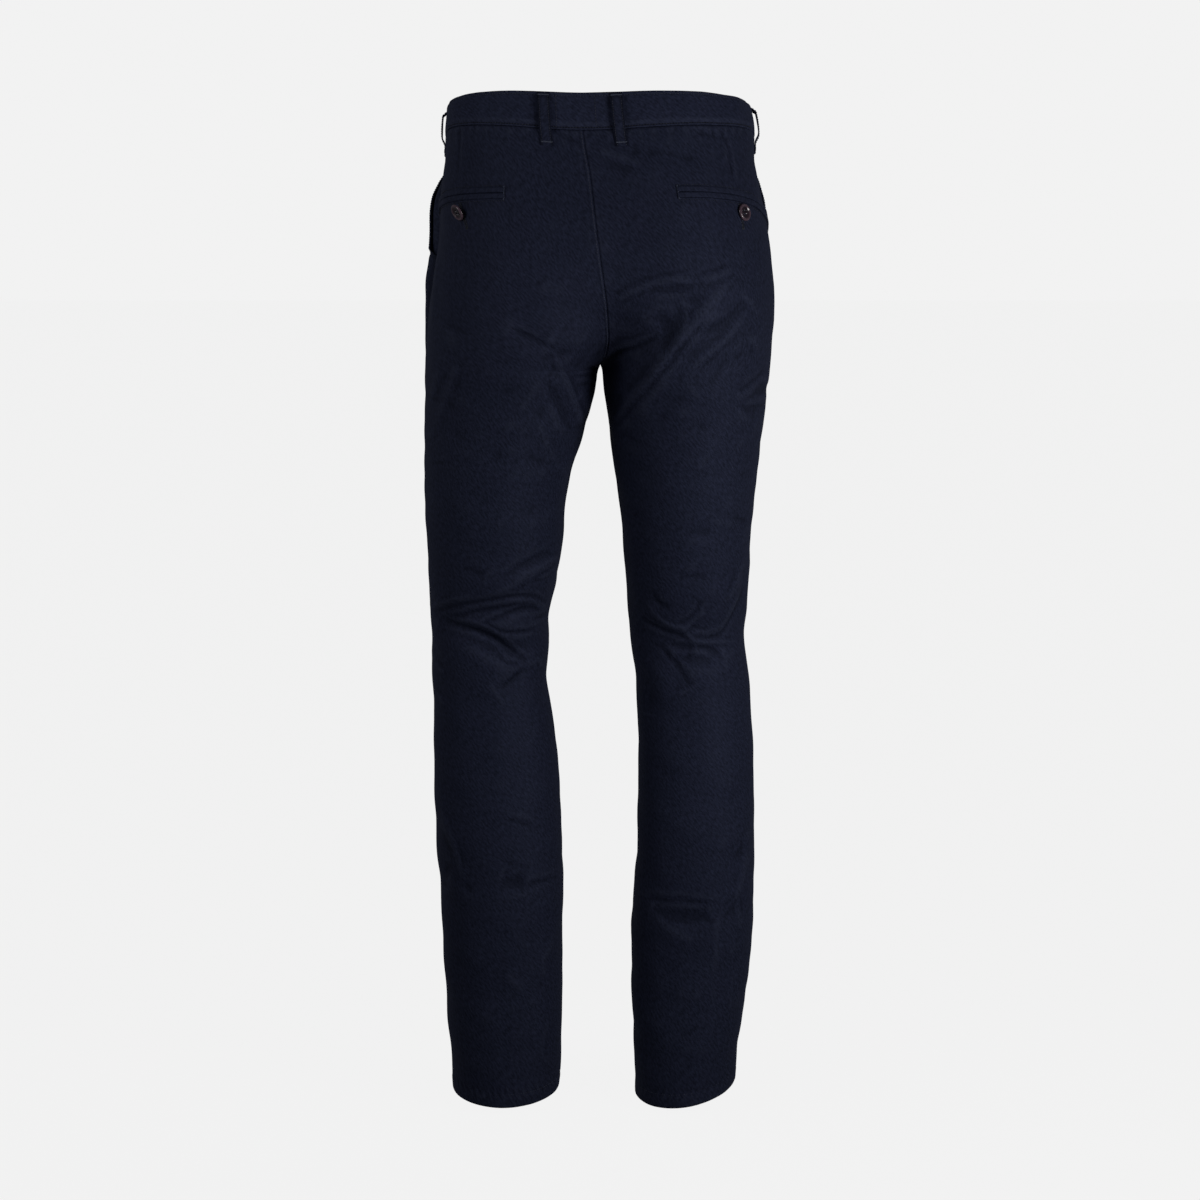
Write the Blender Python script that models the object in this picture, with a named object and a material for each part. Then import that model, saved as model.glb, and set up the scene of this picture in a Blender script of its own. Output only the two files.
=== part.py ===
"""Slim chino trousers, filled out as worn and open at the waist and both hems.

Lengths are in millimetres and become metres when a mesh is made. +Z is up, -Y is the wearer's front and
+X the wearer's left. The origin is the middle of the waist, at the height of the waistband's top edge.

All the cloth is taken from one surface. A place on it is (leg, level, turn): level is the height at the
side seam, and turn runs from -1 at the centre front or inseam, through 0 at the side seam, to 1 at the
centre back or inseam, in even steps along the cloth.
"""

import math

import bpy
import numpy as np
from mathutils import Matrix, Vector

# Cloth and gaps
MM = 0.001
WALL = 1.5
SEAM_GAP = 0.3
UNDER = -(WALL + 0.4)

# Driving heights of the cut, as levels
WAIST = 2.0
BAND_HEIGHT = 38.3
BAND_FOOT = WAIST - BAND_HEIGHT
CROTCH = -271.0
HEM = -1052.5
HEM_TURNING = 15.0

# Columns of points across a back and a front, where the first step from the side is this share of the way.
# Rows lie closer near the crotch, spreading from it as a square, and between these two levels at the knee.
BACK_POINTS, FRONT_POINTS = 12, 12
FIRST_STEP = 0.05
CROTCH_SPREAD = 1.15
KNEE_TOP, KNEE_FOOT = -518.0, -700.0

# The two legs: LEFT is the wearer's left, at +X
LEFT, RIGHT = 1, -1
LEG_NAMES = {LEFT: "left", RIGHT: "right"}

# One row for each section of the body: how far it reaches to the back and the front, the line of the side
# seam and inseam, the share of the way from the middle to the side at which it is deepest, how square it is,
# and the radius that rounds the two halves into each other along the centre seams.
SECTION_COLUMNS = ("level", "back", "front", "seam", "swell", "square", "round")
SECTIONS = (
    (6, 116, -115, 0, 0.16, 2.45, 34),
    (-36, 119, -118, 2, 0.20, 2.50, 34),
    (-80, 128, -121, 4, 0.28, 2.35, 32),
    (-130, 139, -121, 7, 0.35, 2.20, 30),
    (-180, 145, -118, 10, 0.40, 2.10, 26),
    (-230, 143, -113, 12, 0.45, 2.10, 18),
    (-271, 134, -108, 12, 0.500, 2.10, 11),
    (-310, 121, -103, 10, 0.521, 2.10, 8),
    (-350, 110, -98, 7, 0.544, 2.10, 4),
    (-420, 97, -91, 4, 0.583, 2.10, 1),
    (-500, 82, -85, 0, 0.607, 2.10, 1),
    (-560, 66, -80, -6, 0.630, 2.10, 1),
    (-620, 64, -71, -3, 0.637, 2.10, 1),
    (-700, 71, -62, 4, 0.622, 2.10, 1),
    (-780, 75, -56, 8, 0.616, 2.10, 1),
    (-860, 74, -51, 10, 0.613, 2.10, 1),
    (-950, 72, -48, 12, 0.616, 2.05, 1),
    (-1060, 71, -46, 13, 0.635, 1.95, 1),
)

# How far each leg reaches to the side
SIDE_COLUMNS = ("level", "left_side", "right_side")
SIDES = (
    (6, 160.6, -157.6),
    (-36, 162.6, -162.4),
    (-60, 163.6, -162.6),
    (-80, 166.6, -166.5),
    (-100, 168.8, -171.0),
    (-130, 169.8, -177.0),
    (-160, 173.0, -181.5),
    (-190, 178.2, -184.6),
    (-220, 181.8, -184.6),
    (-250, 183.8, -182.4),
    (-320, 186.3, -175.6),
    (-390, 187.4, -167.2),
    (-460, 185.5, -161.2),
    (-530, 182.9, -159.0),
    (-560, 181.3, -155.6),
    (-590, 181.2, -158.3),
    (-620, 179.8, -162.0),
    (-690, 179.5, -165.5),
    (-780, 177.3, -167.0),
    (-830, 173.2, -166.8),
    (-880, 171.2, -165.2),
    (-930, 168.4, -161.0),
    (-980, 165.3, -154.5),
    (-1020, 161.5, -148.6),
    (-1060, 160.0, -146.8),
)

# The inseams, and the way that the two centre seams wander above the crotch
INSEAM_COLUMNS = ("level", "left_inseam", "right_inseam")
INSEAMS = (
    (-271, 0.0, 0.0),
    (-273, 1.3, -1.2),
    (-280, 2.9, -2.5),
    (-300, 6.4, -4.9),
    (-320, 11.7, -7.5),
    (-360, 23.7, -12.6),
    (-390, 32.3, -16.8),
    (-420, 37.8, -21.0),
    (-445, 39.2, -23.8),
    (-500, 46.6, -28.1),
    (-545, 55.8, -31.6),
    (-575, 55.6, -34.2),
    (-605, 57.6, -38.2),
    (-650, 51.3, -40.4),
    (-690, 45.8, -41.4),
    (-780, 41.7, -40.6),
    (-830, 40.2, -37.4),
    (-880, 41.0, -34.4),
    (-930, 41.3, -34.6),
    (-1020, 42.5, -37.7),
    (-1060, 45.6, -39.2),
)
CENTRE_COLUMNS = ("level", "centre_back", "centre_front")
CENTRES = (
    (6, 19.5, -21.0),
    (-36, 17.4, -20.5),
    (-80, 10.2, -18.5),
    (-136, 3.1, -14.0),
    (-180, -3.4, -10.5),
    (-210, -7.4, -8.0),
    (-240, -9.0, -5.0),
    (-260, -5.0, -2.0),
    (-271, 0.0, 0.0),
)

# How level lines tip: up to the back (soon level again past the side), up at the side, up between the side
# and the centre back, and up to the side of each leg, about a place this share of the way out to its side
TIP_COLUMNS = ("level", "tip_back", "lift_side", "lift_back", "tip_left", "tip_right")
TIPS = (
    (6, 0.10, -6.0, 2.6, 0.0, 0.0),
    (-36, 0.10, 5.0, 4.7, 0.0, 0.0),
    (-90, 0.09, 2.0, 2.0, 0.0, 0.0),
    (-140, 0.06, 0.0, 0.0, 0.0, 0.0),
    (-200, 0.02, 0.0, 0.0, 0.0, 0.0),
    (-271, 0.0, 0.0, 0.0, 0.0, 0.0),
    (-940, 0.0, 0.0, 0.0, 0.0, 0.0),
    (-1000, -0.08, 0.0, 0.0, 0.0, -0.08),
    (-1060, -0.20, 0.0, 0.0, -0.02, -0.17),
)
TIP_REACH = 50.0
TIP_ABOUT = 0.6
LIFT_PEAK = 1.15

# The seat and front seams sink towards the crotch on an arc this tall, at whose top they are this nearly out
SEAT_RISE, FRONT_RISE = 118.0, 96.0
FULL_RISE = 0.99

# The largest folds: each runs through three places (across, up) on the back (1) or the front (-1), is
# this wide and this deep; a negative depth is a ridge. A fold loses this share of its depth for each
# millimetre that it runs round the side, with this much left where the two faces meet.
FOLD_COLUMNS = ("face", "x1", "z1", "x2", "z2", "x3", "z3", "width", "depth")
FOLDS = (
    # seat and thigh, wearer's right
    (1, -10, -250, -48, -240, -92, -204, 13, 4.5),
    (1, -26, -338, -78, -258, -142, -178, 15, -4.0),
    (1, -60, -270, -112, -238, -158, -206, 14, 4.0),
    (1, -96, -290, -132, -262, -160, -244, 13, 3.0),
    (1, -150, -318, -166, -300, -176, -286, 12, 3.0),
    # seat and thigh, wearer's left
    (1, 92, -226, 72, -236, 54, -244, 12, 3.0),
    (1, 46, -256, 32, -292, 14, -330, 13, -3.0),
    (1, 176, -300, 164, -262, 150, -228, 15, -3.0),
    # behind the left knee
    (1, 176, -540, 130, -528, 50, -530, 10, 4.5),
    (1, 174, -546, 122, -560, 74, -590, 11, 6.0),
    (1, 134, -548, 100, -568, 62, -560, 10, 3.5),
    (1, 108, -618, 88, -606, 62, -592, 12, 3.5),
    # behind the right knee
    (1, -38, -546, -70, -562, -100, -570, 11, 4.0),
    (1, -76, -576, -106, -580, -132, -578, 10, 5.0),
    (1, -102, -568, -146, -548, -160, -484, 13, 4.5),
    (1, -40, -570, -70, -586, -92, -612, 11, 3.5),
    # calves
    (1, 104, -812, 92, -816, 78, -820, 12, 2.5),
    (1, -56, -848, -88, -856, -118, -852, 11, 3.0),
    # front: above the knees, over the shins and out from the crotch
    (-1, 168, -520, 120, -542, 66, -528, 13, 4.0),
    (-1, 70, -600, 112, -618, 160, -606, 14, 3.5),
    (-1, -44, -526, -92, -546, -146, -524, 13, 4.0),
    (-1, -60, -612, -104, -626, -150, -610, 14, 3.5),
    (-1, 10, -262, 50, -246, 96, -210, 14, 3.5),
    (-1, -16, -262, -54, -248, -100, -212, 14, 3.5),
    (-1, 60, -850, 100, -864, 146, -852, 14, 2.5),
    (-1, -56, -838, -96, -852, -140, -842, 14, 2.5),
)

FOLD_MEETING = 2.0
FOLD_LEFT_THERE = 0.3
FOLD_LOSS = 1 / 45
FOLD_ENDS = 0.7

# Front slant pockets: where the mouth starts at the waistband and where it ends on the side seam. The front
# stands out there by the table, which fades over a reach forward of its edge. Below the mouth the edge is
# sewn down, and the front bulges a short way forward of the side seam.
MOUTH_WIDTH = 40.0
MOUTH_FOOT = -150.0
GAPE_COLUMNS = ("level", "left", "right")
GAPES = (
    (-36, 0.0, 0.0),
    (-60, 0.4, 2.0),
    (-80, 7.5, 5.5),
    (-95, 11.5, 6.0),
    (-110, 12.5, 4.5),
    (-132, 12.5, 1.8),
    (-150, 12.0, 0.5),
    (-175, 10.0, 0.0),
    (-205, 6.0, 0.0),
    (-235, 3.8, 0.0),
    (-270, 1.5, 0.0),
    (-300, 0.0, 0.0),
    (-1060, 0.0, 0.0),
)
GAPE_REACH = 46.0
GAPE_HELD = 8.0
GAPE_GRIP = 11.0
FACING_UNDERLAY = 20.0
SIDE_ALLOWANCE = 8.0

# Back welt pockets: two lips on each leg, from the inner end to near the side seam
WELT_LEVEL = {LEFT: -101.2, RIGHT: -100.2}
WELT_DROP = {LEFT: -7.0, RIGHT: -24.0}
WELT_BEND = {LEFT: 1.5, RIGHT: 2.2}
WELT_HEIGHT = 6.0
WELT_THICKNESS = 1.2
WELT_REST = 0.6
WELT_INNER = {LEFT: 92.0, RIGHT: 88.0}
WELT_OUTER = 3.0

# Waistband: how far the right end runs on under the left, and how deep it tucks in to get there
BAND_WALL = 2.4
BAND_PROUD = 0.6
BAND_ROLL = 1.5
UNDERLAP = 38.0
UNDERLAP_TUCK = -(BAND_WALL + SEAM_GAP + 0.1)
UNDERLAP_START = -0.985

# Belt loops. One rests on the band's top edge, stands off the band by its gap and comes to rest on the panel.
# Their places are in millimetres from the centre seam, or a share of the way from it to the side seam.
LOOP_WIDTH = 12.5
LOOP_THICKNESS = 1.4
LOOP_GAP = 3.8
LOOP_REST = 0.4
LOOP_PATH = (  # level, share of the gap
    (WAIST - 0.6, 0.0),
    (-3.0, 0.35),
    (-6.5, 1.0),
    (-18.0, 1.0),
    (-30.0, 1.0),
    (-35.5, 0.9),
    (-40.5, 0.4),
    (-46.0, 0.0),
    (-54.0, 0.0),
)
LOOP_COLUMNS = ("name", "leg", "half", "from_centre")
LOOPS = (
    ("belt_loop_back_left", LEFT, 1, 40.0),
    ("belt_loop_back_right", RIGHT, 1, 36.5),
    ("belt_loop_side_left", LEFT, -1, 0.985),
    ("belt_loop_side_right", RIGHT, 1, 0.955),
    ("belt_loop_front_left", LEFT, -1, 78.0),
    ("belt_loop_front_right", RIGHT, -1, 66.0),
)

# Buttons: a turned profile as shares of the radius and the thickness, from the middle of the underside out
# over the raised rim to the middle of the dished face
BUTTON_RADIUS = 9.0
BUTTON_THICKNESS = 3.2
BUTTON_PROFILE = (
    (0.0, 0.0),
    (0.80, 0.0),
    (0.97, 0.28),
    (1.0, 0.55),
    (0.93, 0.92),
    (0.82, 1.0),
    (0.70, 0.86),
    (0.60, 0.62),
    (0.0, 0.58),
)
BUTTON_SIDES = 24
BUTTON_HOLES = 4
BUTTON_HOLE = 1.1
BUTTON_HOLE_CIRCLE = 2.4
BUTTON_LIFT = 0.6
BACK_BUTTON = {LEFT: (-118.5, 0.40), RIGHT: (-119.0, 0.38)}
WAIST_BUTTON = (BAND_FOOT / 2, -0.94)

# Fly
FLY_FOOT = -196.0
SHIELD_WIDTH = 44.0
TAPE_WIDTH = 28.0
TAPE_THICKNESS = 1.0
CHAIN_WIDTH = 5.0
CHAIN_THICKNESS = 2.0


# ---------------------------------------------------------------------------------------------------------
# The surface
# ---------------------------------------------------------------------------------------------------------


def smooth(at, levels, values):
    """A monotone cubic through the values: each slope is the harmonic mean of the two rises beside it."""
    order = np.argsort(levels)
    levels = np.asarray(levels, float)[order]
    values = np.asarray(values, float)[order]
    rises = np.diff(values) / np.diff(levels)
    slopes = np.r_[rises[0], np.zeros(len(values) - 2), rises[-1]]
    below, above = rises[:-1], rises[1:]
    same = below * above > 0
    slopes[1:-1][same] = 2 * below[same] * above[same] / (below + above)[same]
    at = np.asarray(at, float)
    i = np.clip(np.searchsorted(levels, at) - 1, 0, len(levels) - 2)
    width = levels[i + 1] - levels[i]
    t = (at - levels[i]) / width
    return (
        values[i] * (1 + 2 * t) * (1 - t) ** 2
        + values[i + 1] * t**2 * (3 - 2 * t)
        + slopes[i] * width * t * (1 - t) ** 2
        - slopes[i + 1] * width * t**2 * (1 - t)
    )


def read(table, columns, name, at):
    """One named column of a table, read at these levels."""
    rows = np.array(table, float)
    return smooth(at, rows[:, 0], rows[:, columns.index(name)])


def rise_share(levels, face):
    """How deep the centre seam lies, from 0 at the crotch and below to nearly 1 where its arc ends."""
    up = np.clip((levels - CROTCH) / (SEAT_RISE if face > 0 else FRONT_RISE), 0, 1)
    return FULL_RISE * np.sqrt(1 - (1 - up) ** 2)


def quarter(levels, leg, face, points):
    """One face's part of the section at each level, from its centre seam or inseam to the side seam.

    Both quarters are superellipses about the place where the section is deepest. They are drawn in
    q = sqrt((x - c)^2 + r^2) - r, not in x, which rounds the halves into each other at the centre c.
    """
    levels = levels[:, None]
    depth_name, centre_name = ("back", "centre_back") if face > 0 else ("front", "centre_front")
    name = LEG_NAMES[leg]
    seam = read(SECTIONS, SECTION_COLUMNS, "seam", levels)
    depth = read(SECTIONS, SECTION_COLUMNS, depth_name, levels) - seam
    swell = read(SECTIONS, SECTION_COLUMNS, "swell", levels)
    square = read(SECTIONS, SECTION_COLUMNS, "square", levels)
    radius = read(SECTIONS, SECTION_COLUMNS, "round", levels)
    side = read(SIDES, SIDE_COLUMNS, name + "_side", levels)
    below = levels < CROTCH
    inseams = [read(INSEAMS, INSEAM_COLUMNS, n + "_inseam", levels) for n in ("left", "right")]
    middle = read(CENTRES, CENTRE_COLUMNS, centre_name, levels)
    middle = np.where(below, (inseams[0] + inseams[1]) / 2, middle)
    inner = np.where(below, inseams[0] if leg == LEFT else inseams[1], middle)
    core = middle + swell * (side - middle)
    q_side, q_core, q_inner = (np.hypot(x - middle, radius) - radius for x in (side, core, inner))
    share = rise_share(levels, face)
    start = np.arcsin(share ** (square / 2))
    reach = (q_core - q_inner) / (1 - share**square) ** (1 / square)
    t = np.linspace(0, 1, points)[None, :]
    angle = np.hstack([start + (math.pi / 2 - start) * t**1.5, math.pi / 2 * (1 - t[:, 1:]) + 0 * start])
    along, deep = (np.clip(f(angle), 0, 1) ** (2 / square) for f in (np.cos, np.sin))
    q = q_core + np.where(np.arange(2 * points - 1) < points, -reach, q_side - q_core) * along
    x = middle + leg * np.sqrt(np.clip((np.clip(q, 0, None) + radius) ** 2 - radius**2, 0, None))
    return x, seam + depth * deep


def section(levels, leg, points=160):
    """The whole section of a leg at each level, from front to back, with each point's share of the length."""
    halves = []
    for face in (-1, 1):
        x, y = quarter(levels, leg, face, points)
        steps = np.hypot(np.diff(x), np.diff(y))
        run = np.hstack([np.zeros((len(x), 1)), np.cumsum(steps, axis=1)])
        halves.append((x, y, face * (1 - run / run[:, -1:]), run[:, -1]))
    (fx, fy, fturn, flength), (bx, by, bturn, blength) = halves
    x = np.hstack([fx, bx[:, -2::-1]])
    y = np.hstack([fy, by[:, -2::-1]])
    turn = np.hstack([fturn, bturn[:, -2::-1]])
    return x, y, turn, flength, blength


def seam_takes(levels, face):
    """The length of cloth that a centre seam's arc takes away just above the crotch."""
    depth_name = "back" if face > 0 else "front"
    reach, seam = (read(SECTIONS, SECTION_COLUMNS, name, levels) for name in (depth_name, "seam"))
    share = rise_share(levels, face)
    return np.abs(reach - seam) * share * (1 - share**2)


def smooth_body(leg, levels, turns):
    """Points of the body without its folds, for one level a row and these turns along it.

    A turn is a share of the length, but for the length that the seam's arc takes away: the places near the
    seam give way to it, by the cube of their turn, and the rest of the columns run on smoothly down the leg.
    """
    x, y, turn, flength, blength = section(levels, leg)
    level = levels[:, None]
    back, front = seam_takes(level, 1) / blength[:, None], seam_takes(level, -1) / flength[:, None]
    taken = np.where(turns > 0, back, front)
    shares = turns * (1 + taken * (1 - turns**2))
    across = np.array([np.interp(shares[i], turn[i], x[i]) for i in range(len(levels))])
    deep = np.array([np.interp(shares[i], turn[i], y[i]) for i in range(len(levels))])
    tip, lift, lift_back, tip_leg = (
        read(TIPS, TIP_COLUMNS, name, level)
        for name in ("tip_back", "lift_side", "lift_back", "tip_" + LEG_NAMES[leg])
    )
    seam = read(SECTIONS, SECTION_COLUMNS, "seam", level)
    reach = np.where(
        deep > seam,
        read(SECTIONS, SECTION_COLUMNS, "back", level) - seam,
        read(SECTIONS, SECTION_COLUMNS, "front", level) - seam,
    )
    side = read(SIDES, SIDE_COLUMNS, LEG_NAMES[leg] + "_side", level)
    share = np.clip((deep - seam) / reach, 0, 1)
    soon = np.abs(reach) * np.tanh(deep / TIP_REACH) / np.tanh(np.abs(reach) / TIP_REACH)
    up = level + tip * np.where((deep > 0) & (level > CROTCH), soon, deep)
    up = up + lift * (1 - share**2) + lift_back * np.sin(math.pi * np.clip(turns, 0, 1) ** LIFT_PEAK) ** 2
    up = up + tip_leg * (across - side * TIP_ABOUT)
    return np.stack([across, deep, up], axis=-1)


def normals(place, leg, levels, turns, step=0.01):
    """Outward unit normals, from the two slopes of a surface function."""
    rise = place(leg, levels + 1, turns) - place(leg, levels - 1, turns)
    low, high = np.clip(turns - step, -1, 1), np.clip(turns + step, -1, 1)
    run = place(leg, levels, high) - place(leg, levels, low)
    out = leg * np.cross(run, rise)
    return out / np.linalg.norm(out, axis=-1, keepdims=True)


def from_line(points, ends):
    """Distance of the points (across, up) from a bent line, and how far along it the nearest place is."""
    nearest = np.full(points.shape[:-1], np.inf)
    along = np.zeros(points.shape[:-1])
    for i, (a, b) in enumerate(zip(ends[:-1], ends[1:])):
        t = np.clip(((points - a) @ (b - a)) / ((b - a) @ (b - a)), 0, 1)
        distance = np.linalg.norm(points - a - t[..., None] * (b - a), axis=-1)
        closer = distance < nearest
        nearest = np.where(closer, distance, nearest)
        along = np.where(closer, (i + t) / (len(ends) - 1), along)
    return nearest, along


def fold_depth(points):
    """How far the folds sink the cloth at each point: soft troughs that fade out at both ends."""
    total = np.zeros(points.shape[:-1])
    t = np.linspace(0, 1, 9)[:, None]
    for row in FOLDS:
        fold = dict(zip(FOLD_COLUMNS, row))
        first, middle, last = (np.array([fold["x" + n], fold["z" + n]], float) for n in "123")
        pull = 2 * middle - (first + last) / 2
        curve = (1 - t) ** 2 * first + 2 * t * (1 - t) * pull + t**2 * last
        distance, along = from_line(points[..., [0, 2]], curve)
        shape = np.exp(-((distance / fold["width"]) ** 2)) * (4 * along * (1 - along)) ** FOLD_ENDS
        facing = FOLD_LEFT_THERE + fold["face"] * (points[..., 1] - FOLD_MEETING) * FOLD_LOSS
        total += fold["depth"] * shape * np.clip(facing, 0, 1)
    return total


def body(leg, levels, turns):
    """Points of the outer face of the cloth, with its large folds."""
    points = smooth_body(leg, levels, turns)
    return points - fold_depth(points)[..., None] * normals(smooth_body, leg, levels, turns)


def offset(leg, levels, turns, distance):
    """The cloth's points moved out along its normals, by one distance or by one for each point."""
    distance = np.asarray(distance, float)
    if distance.ndim < 2:
        distance = np.full(turns.shape, distance)
    return body(leg, levels, turns) + distance[..., None] * normals(body, leg, levels, turns)


def offset_bent(leg, levels, turns, distance, drop):
    """A grid moved out as above, whose columns each lie lower by their own drop."""
    columns = [offset(leg, levels + d, turns[:, i : i + 1], distance) for i, d in enumerate(drop)]
    return np.hstack(columns)


def half_length(leg, levels, face):
    """Length of cloth from the side seam to the centre seam or inseam, front (-1) or back (1)."""
    lengths = section(np.atleast_1d(np.asarray(levels, float)), leg)[3:]
    return lengths[1] if face > 0 else lengths[0]


# ---------------------------------------------------------------------------------------------------------
# Making meshes
# ---------------------------------------------------------------------------------------------------------


def material(name, colour, roughness, metallic=0.0):
    made = bpy.data.materials.new(name)
    made.use_nodes = True
    shader = made.node_tree.nodes["Principled BSDF"]
    shader.inputs["Base Color"].default_value = (*colour, 1.0)
    shader.inputs["Roughness"].default_value = roughness
    shader.inputs["Metallic"].default_value = metallic
    return made


def add_object(name, points, faces, finish):
    """A mesh object from points in millimetres, with its faces turned outwards."""
    points = np.asarray(points, float) * MM
    volume = 0.0
    for face in faces:
        for i in range(1, len(face) - 1):
            volume += np.dot(points[face[0]], np.cross(points[face[i]], points[face[i + 1]]))
    if volume < 0:
        faces = [tuple(reversed(face)) for face in faces]
    mesh = bpy.data.meshes.new(name)
    mesh.from_pydata(points.tolist(), [], [tuple(int(i) for i in face) for face in faces])
    mesh.materials.append(finish)
    mesh.shade_smooth()
    mesh.set_sharp_from_angle(angle=math.radians(50))
    made = bpy.data.objects.new(name, mesh)
    bpy.context.scene.collection.objects.link(made)
    return made


def wall(name, outer, inner, finish, closed=False):
    """A closed wall between two matching grids of points. A closed one joins its last column to its first."""
    rows, columns = outer.shape[:2]
    number = np.arange(rows * columns).reshape(rows, columns)
    if closed:
        number = np.hstack([number, number[:, :1]])
    inside = number + rows * columns
    faces = []
    for grid, turned in ((number, False), (inside, True)):
        quads = np.stack([grid[:-1, :-1], grid[1:, :-1], grid[1:, 1:], grid[:-1, 1:]], axis=-1).reshape(-1, 4)
        faces.append(quads[:, ::-1] if turned else quads)
    edges = [(number[0, ::-1], inside[0, ::-1]), (number[-1], inside[-1])]
    if not closed:
        edges += [(number[:, 0], inside[:, 0]), (number[::-1, -1], inside[::-1, -1])]
    for near, far in edges:
        faces.append(np.stack([near[:-1], far[:-1], far[1:], near[1:]], axis=-1))
    points = np.concatenate([outer.reshape(-1, 3), inner.reshape(-1, 3)])
    return add_object(name, points, np.concatenate(faces), finish)


def spread(levels, columns, start, end):
    """Turns for a grid: even steps from start to end, each one value or one for each level."""
    start, end = (np.broadcast_to(np.asarray(v, float), levels.shape)[:, None] for v in (start, end))
    return start + (end - start) * np.linspace(0, 1, columns)[None, :]


# ---------------------------------------------------------------------------------------------------------
# The legs: two backs and two fronts, with the slant pockets' facings and the turned hems
# ---------------------------------------------------------------------------------------------------------


def panel_levels():
    """Levels of a panel's rows: closer at the crotch, where they spread as a square, and at the knee."""
    near = np.arange(1, 7) ** 2 * CROTCH_SPREAD
    return np.r_[
        np.linspace(BAND_FOOT - SEAM_GAP, CROTCH + near[-1], 12)[:-1],
        CROTCH + near[::-1],
        CROTCH,
        CROTCH - near,
        np.linspace(CROTCH - near[-1], KNEE_TOP, 11)[1:-1],
        np.linspace(KNEE_TOP, KNEE_FOOT, 14),
        np.linspace(KNEE_FOOT, HEM + HEM_TURNING, 14)[1:],
        HEM,
    ]


def mouth_edge(leg, levels):
    """How far forward of the side seam the slant pocket's edge runs, as a turn."""
    share = np.clip((levels - MOUTH_FOOT) / (BAND_FOOT - MOUTH_FOOT), 0, 1)
    return -MOUTH_WIDTH * share / half_length(leg, levels, -1)


def gape(leg, levels, turns):
    """How far the front stands out at the slant pocket and just below it, where its edge is held down."""
    stand = read(GAPES, GAPE_COLUMNS, LEG_NAMES[leg], levels)[:, None]
    away = (mouth_edge(leg, levels)[:, None] - turns) * half_length(leg, levels, -1)[:, None]
    held = np.clip((MOUTH_FOOT - levels) / GAPE_HELD, 0, 1)[:, None]
    grip = 1 - held * (1 - np.clip(away / GAPE_GRIP, 0, 1))
    beyond = np.clip(away - GAPE_GRIP * held, 0, GAPE_REACH)
    return stand * grip * (1 - beyond / GAPE_REACH) ** 2


def part_seams(points, leg, face):
    """Draws a panel back from its neighbours by half of the seam's gap."""
    return points + np.array([leg, face, 0]) * SEAM_GAP / 2


def make_back(leg, cloth):
    levels = panel_levels()
    turns = spread(levels, BACK_POINTS, 0, 1)
    outer, inner = (part_seams(offset(leg, levels, turns, d), leg, 1) for d in (0, -WALL))
    wall("back_" + LEG_NAMES[leg], outer, inner, cloth)


def front_turns(start):
    """Turns of the front's columns, from its side edge: the second lies close to the first."""
    steps = np.r_[0, np.linspace(FIRST_STEP, 1, FRONT_POINTS - 1)]
    return np.asarray(start, float)[..., None] * (1 - steps) - steps


def make_front(leg, cloth):
    levels = panel_levels()
    turns = front_turns(mouth_edge(leg, levels))
    lift = gape(leg, levels, turns)
    outer, inner = (part_seams(offset(leg, levels, turns, lift + d), leg, -1) for d in (0, -WALL))
    wall("front_" + LEG_NAMES[leg], outer, inner, cloth)


def make_facing(leg, cloth):
    """The pocket facing that shows in the slant pocket's mouth. It lies under the front and the back."""
    levels = np.linspace(BAND_FOOT - 1.0, MOUTH_FOOT - 14, 9)
    start = SIDE_ALLOWANCE / half_length(leg, levels, 1)
    end = mouth_edge(leg, levels) - FACING_UNDERLAY / half_length(leg, levels, -1)
    turns = spread(levels, 6, start, end)
    outer, inner = (offset(leg, levels, turns, UNDER + d) for d in (0, -WALL))
    wall("pocket_facing_" + LEG_NAMES[leg], outer, inner, cloth)


def make_hem(leg, cloth):
    """The turned-up edge inside a leg's foot, as one band round it."""
    levels = np.array([HEM + HEM_TURNING, HEM])
    front, back = front_turns(0.0)[::-1], np.linspace(0, 1, BACK_POINTS)
    turns = np.tile(np.r_[front, back[1:-1]], (len(levels), 1))
    outer, inner = (offset(leg, levels, turns, UNDER + d) for d in (0, -WALL))
    wall("hem_" + LEG_NAMES[leg], outer, inner, cloth, closed=True)


# ---------------------------------------------------------------------------------------------------------
# Waistband, belt loops and closure
# ---------------------------------------------------------------------------------------------------------


def make_waistband(cloth):
    """One band from its left end at the fly, round the back, to its right end, which lies under the left."""
    levels = np.array([WAIST, WAIST - BAND_ROLL, BAND_FOOT / 2, BAND_FOOT])
    underlap = -1 + UNDERLAP / half_length(LEFT, WAIST, -1)[0]

    def all_round(leg):
        """The panels' own turns at the band's foot, from the centre front to the centre back."""
        edge = mouth_edge(leg, np.array([BAND_FOOT]))[0]
        return np.r_[front_turns(edge)[::-1], np.linspace(0, 1, BACK_POINTS)]

    left = all_round(LEFT)
    left[0] += SEAM_GAP / half_length(LEFT, BAND_FOOT, -1)[0]
    runs = (
        (LEFT, left, 0.0, 0.0),
        (RIGHT, all_round(RIGHT)[::-1][1:], 0.0, UNDERLAP_TUCK),
        (LEFT, np.linspace(UNDERLAP_START, underlap, 4), UNDERLAP_TUCK, UNDERLAP_TUCK),
    )
    outer, inner = [], []
    for leg, turns, first, last in runs:
        grid = np.tile(turns, (len(levels), 1))
        last_two = np.clip((np.arange(len(turns)) - len(turns) + 3) / 2, 0, 1)
        sink = first + (last - first) * last_two
        outer.append(offset(leg, levels, grid, BAND_PROUD + sink + np.zeros(grid.shape)))
        inner.append(offset(leg, levels, grid, BAND_PROUD - BAND_WALL + sink + np.zeros(grid.shape)))
    wall("waistband", np.hstack(outer), np.hstack(inner), cloth)


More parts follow.
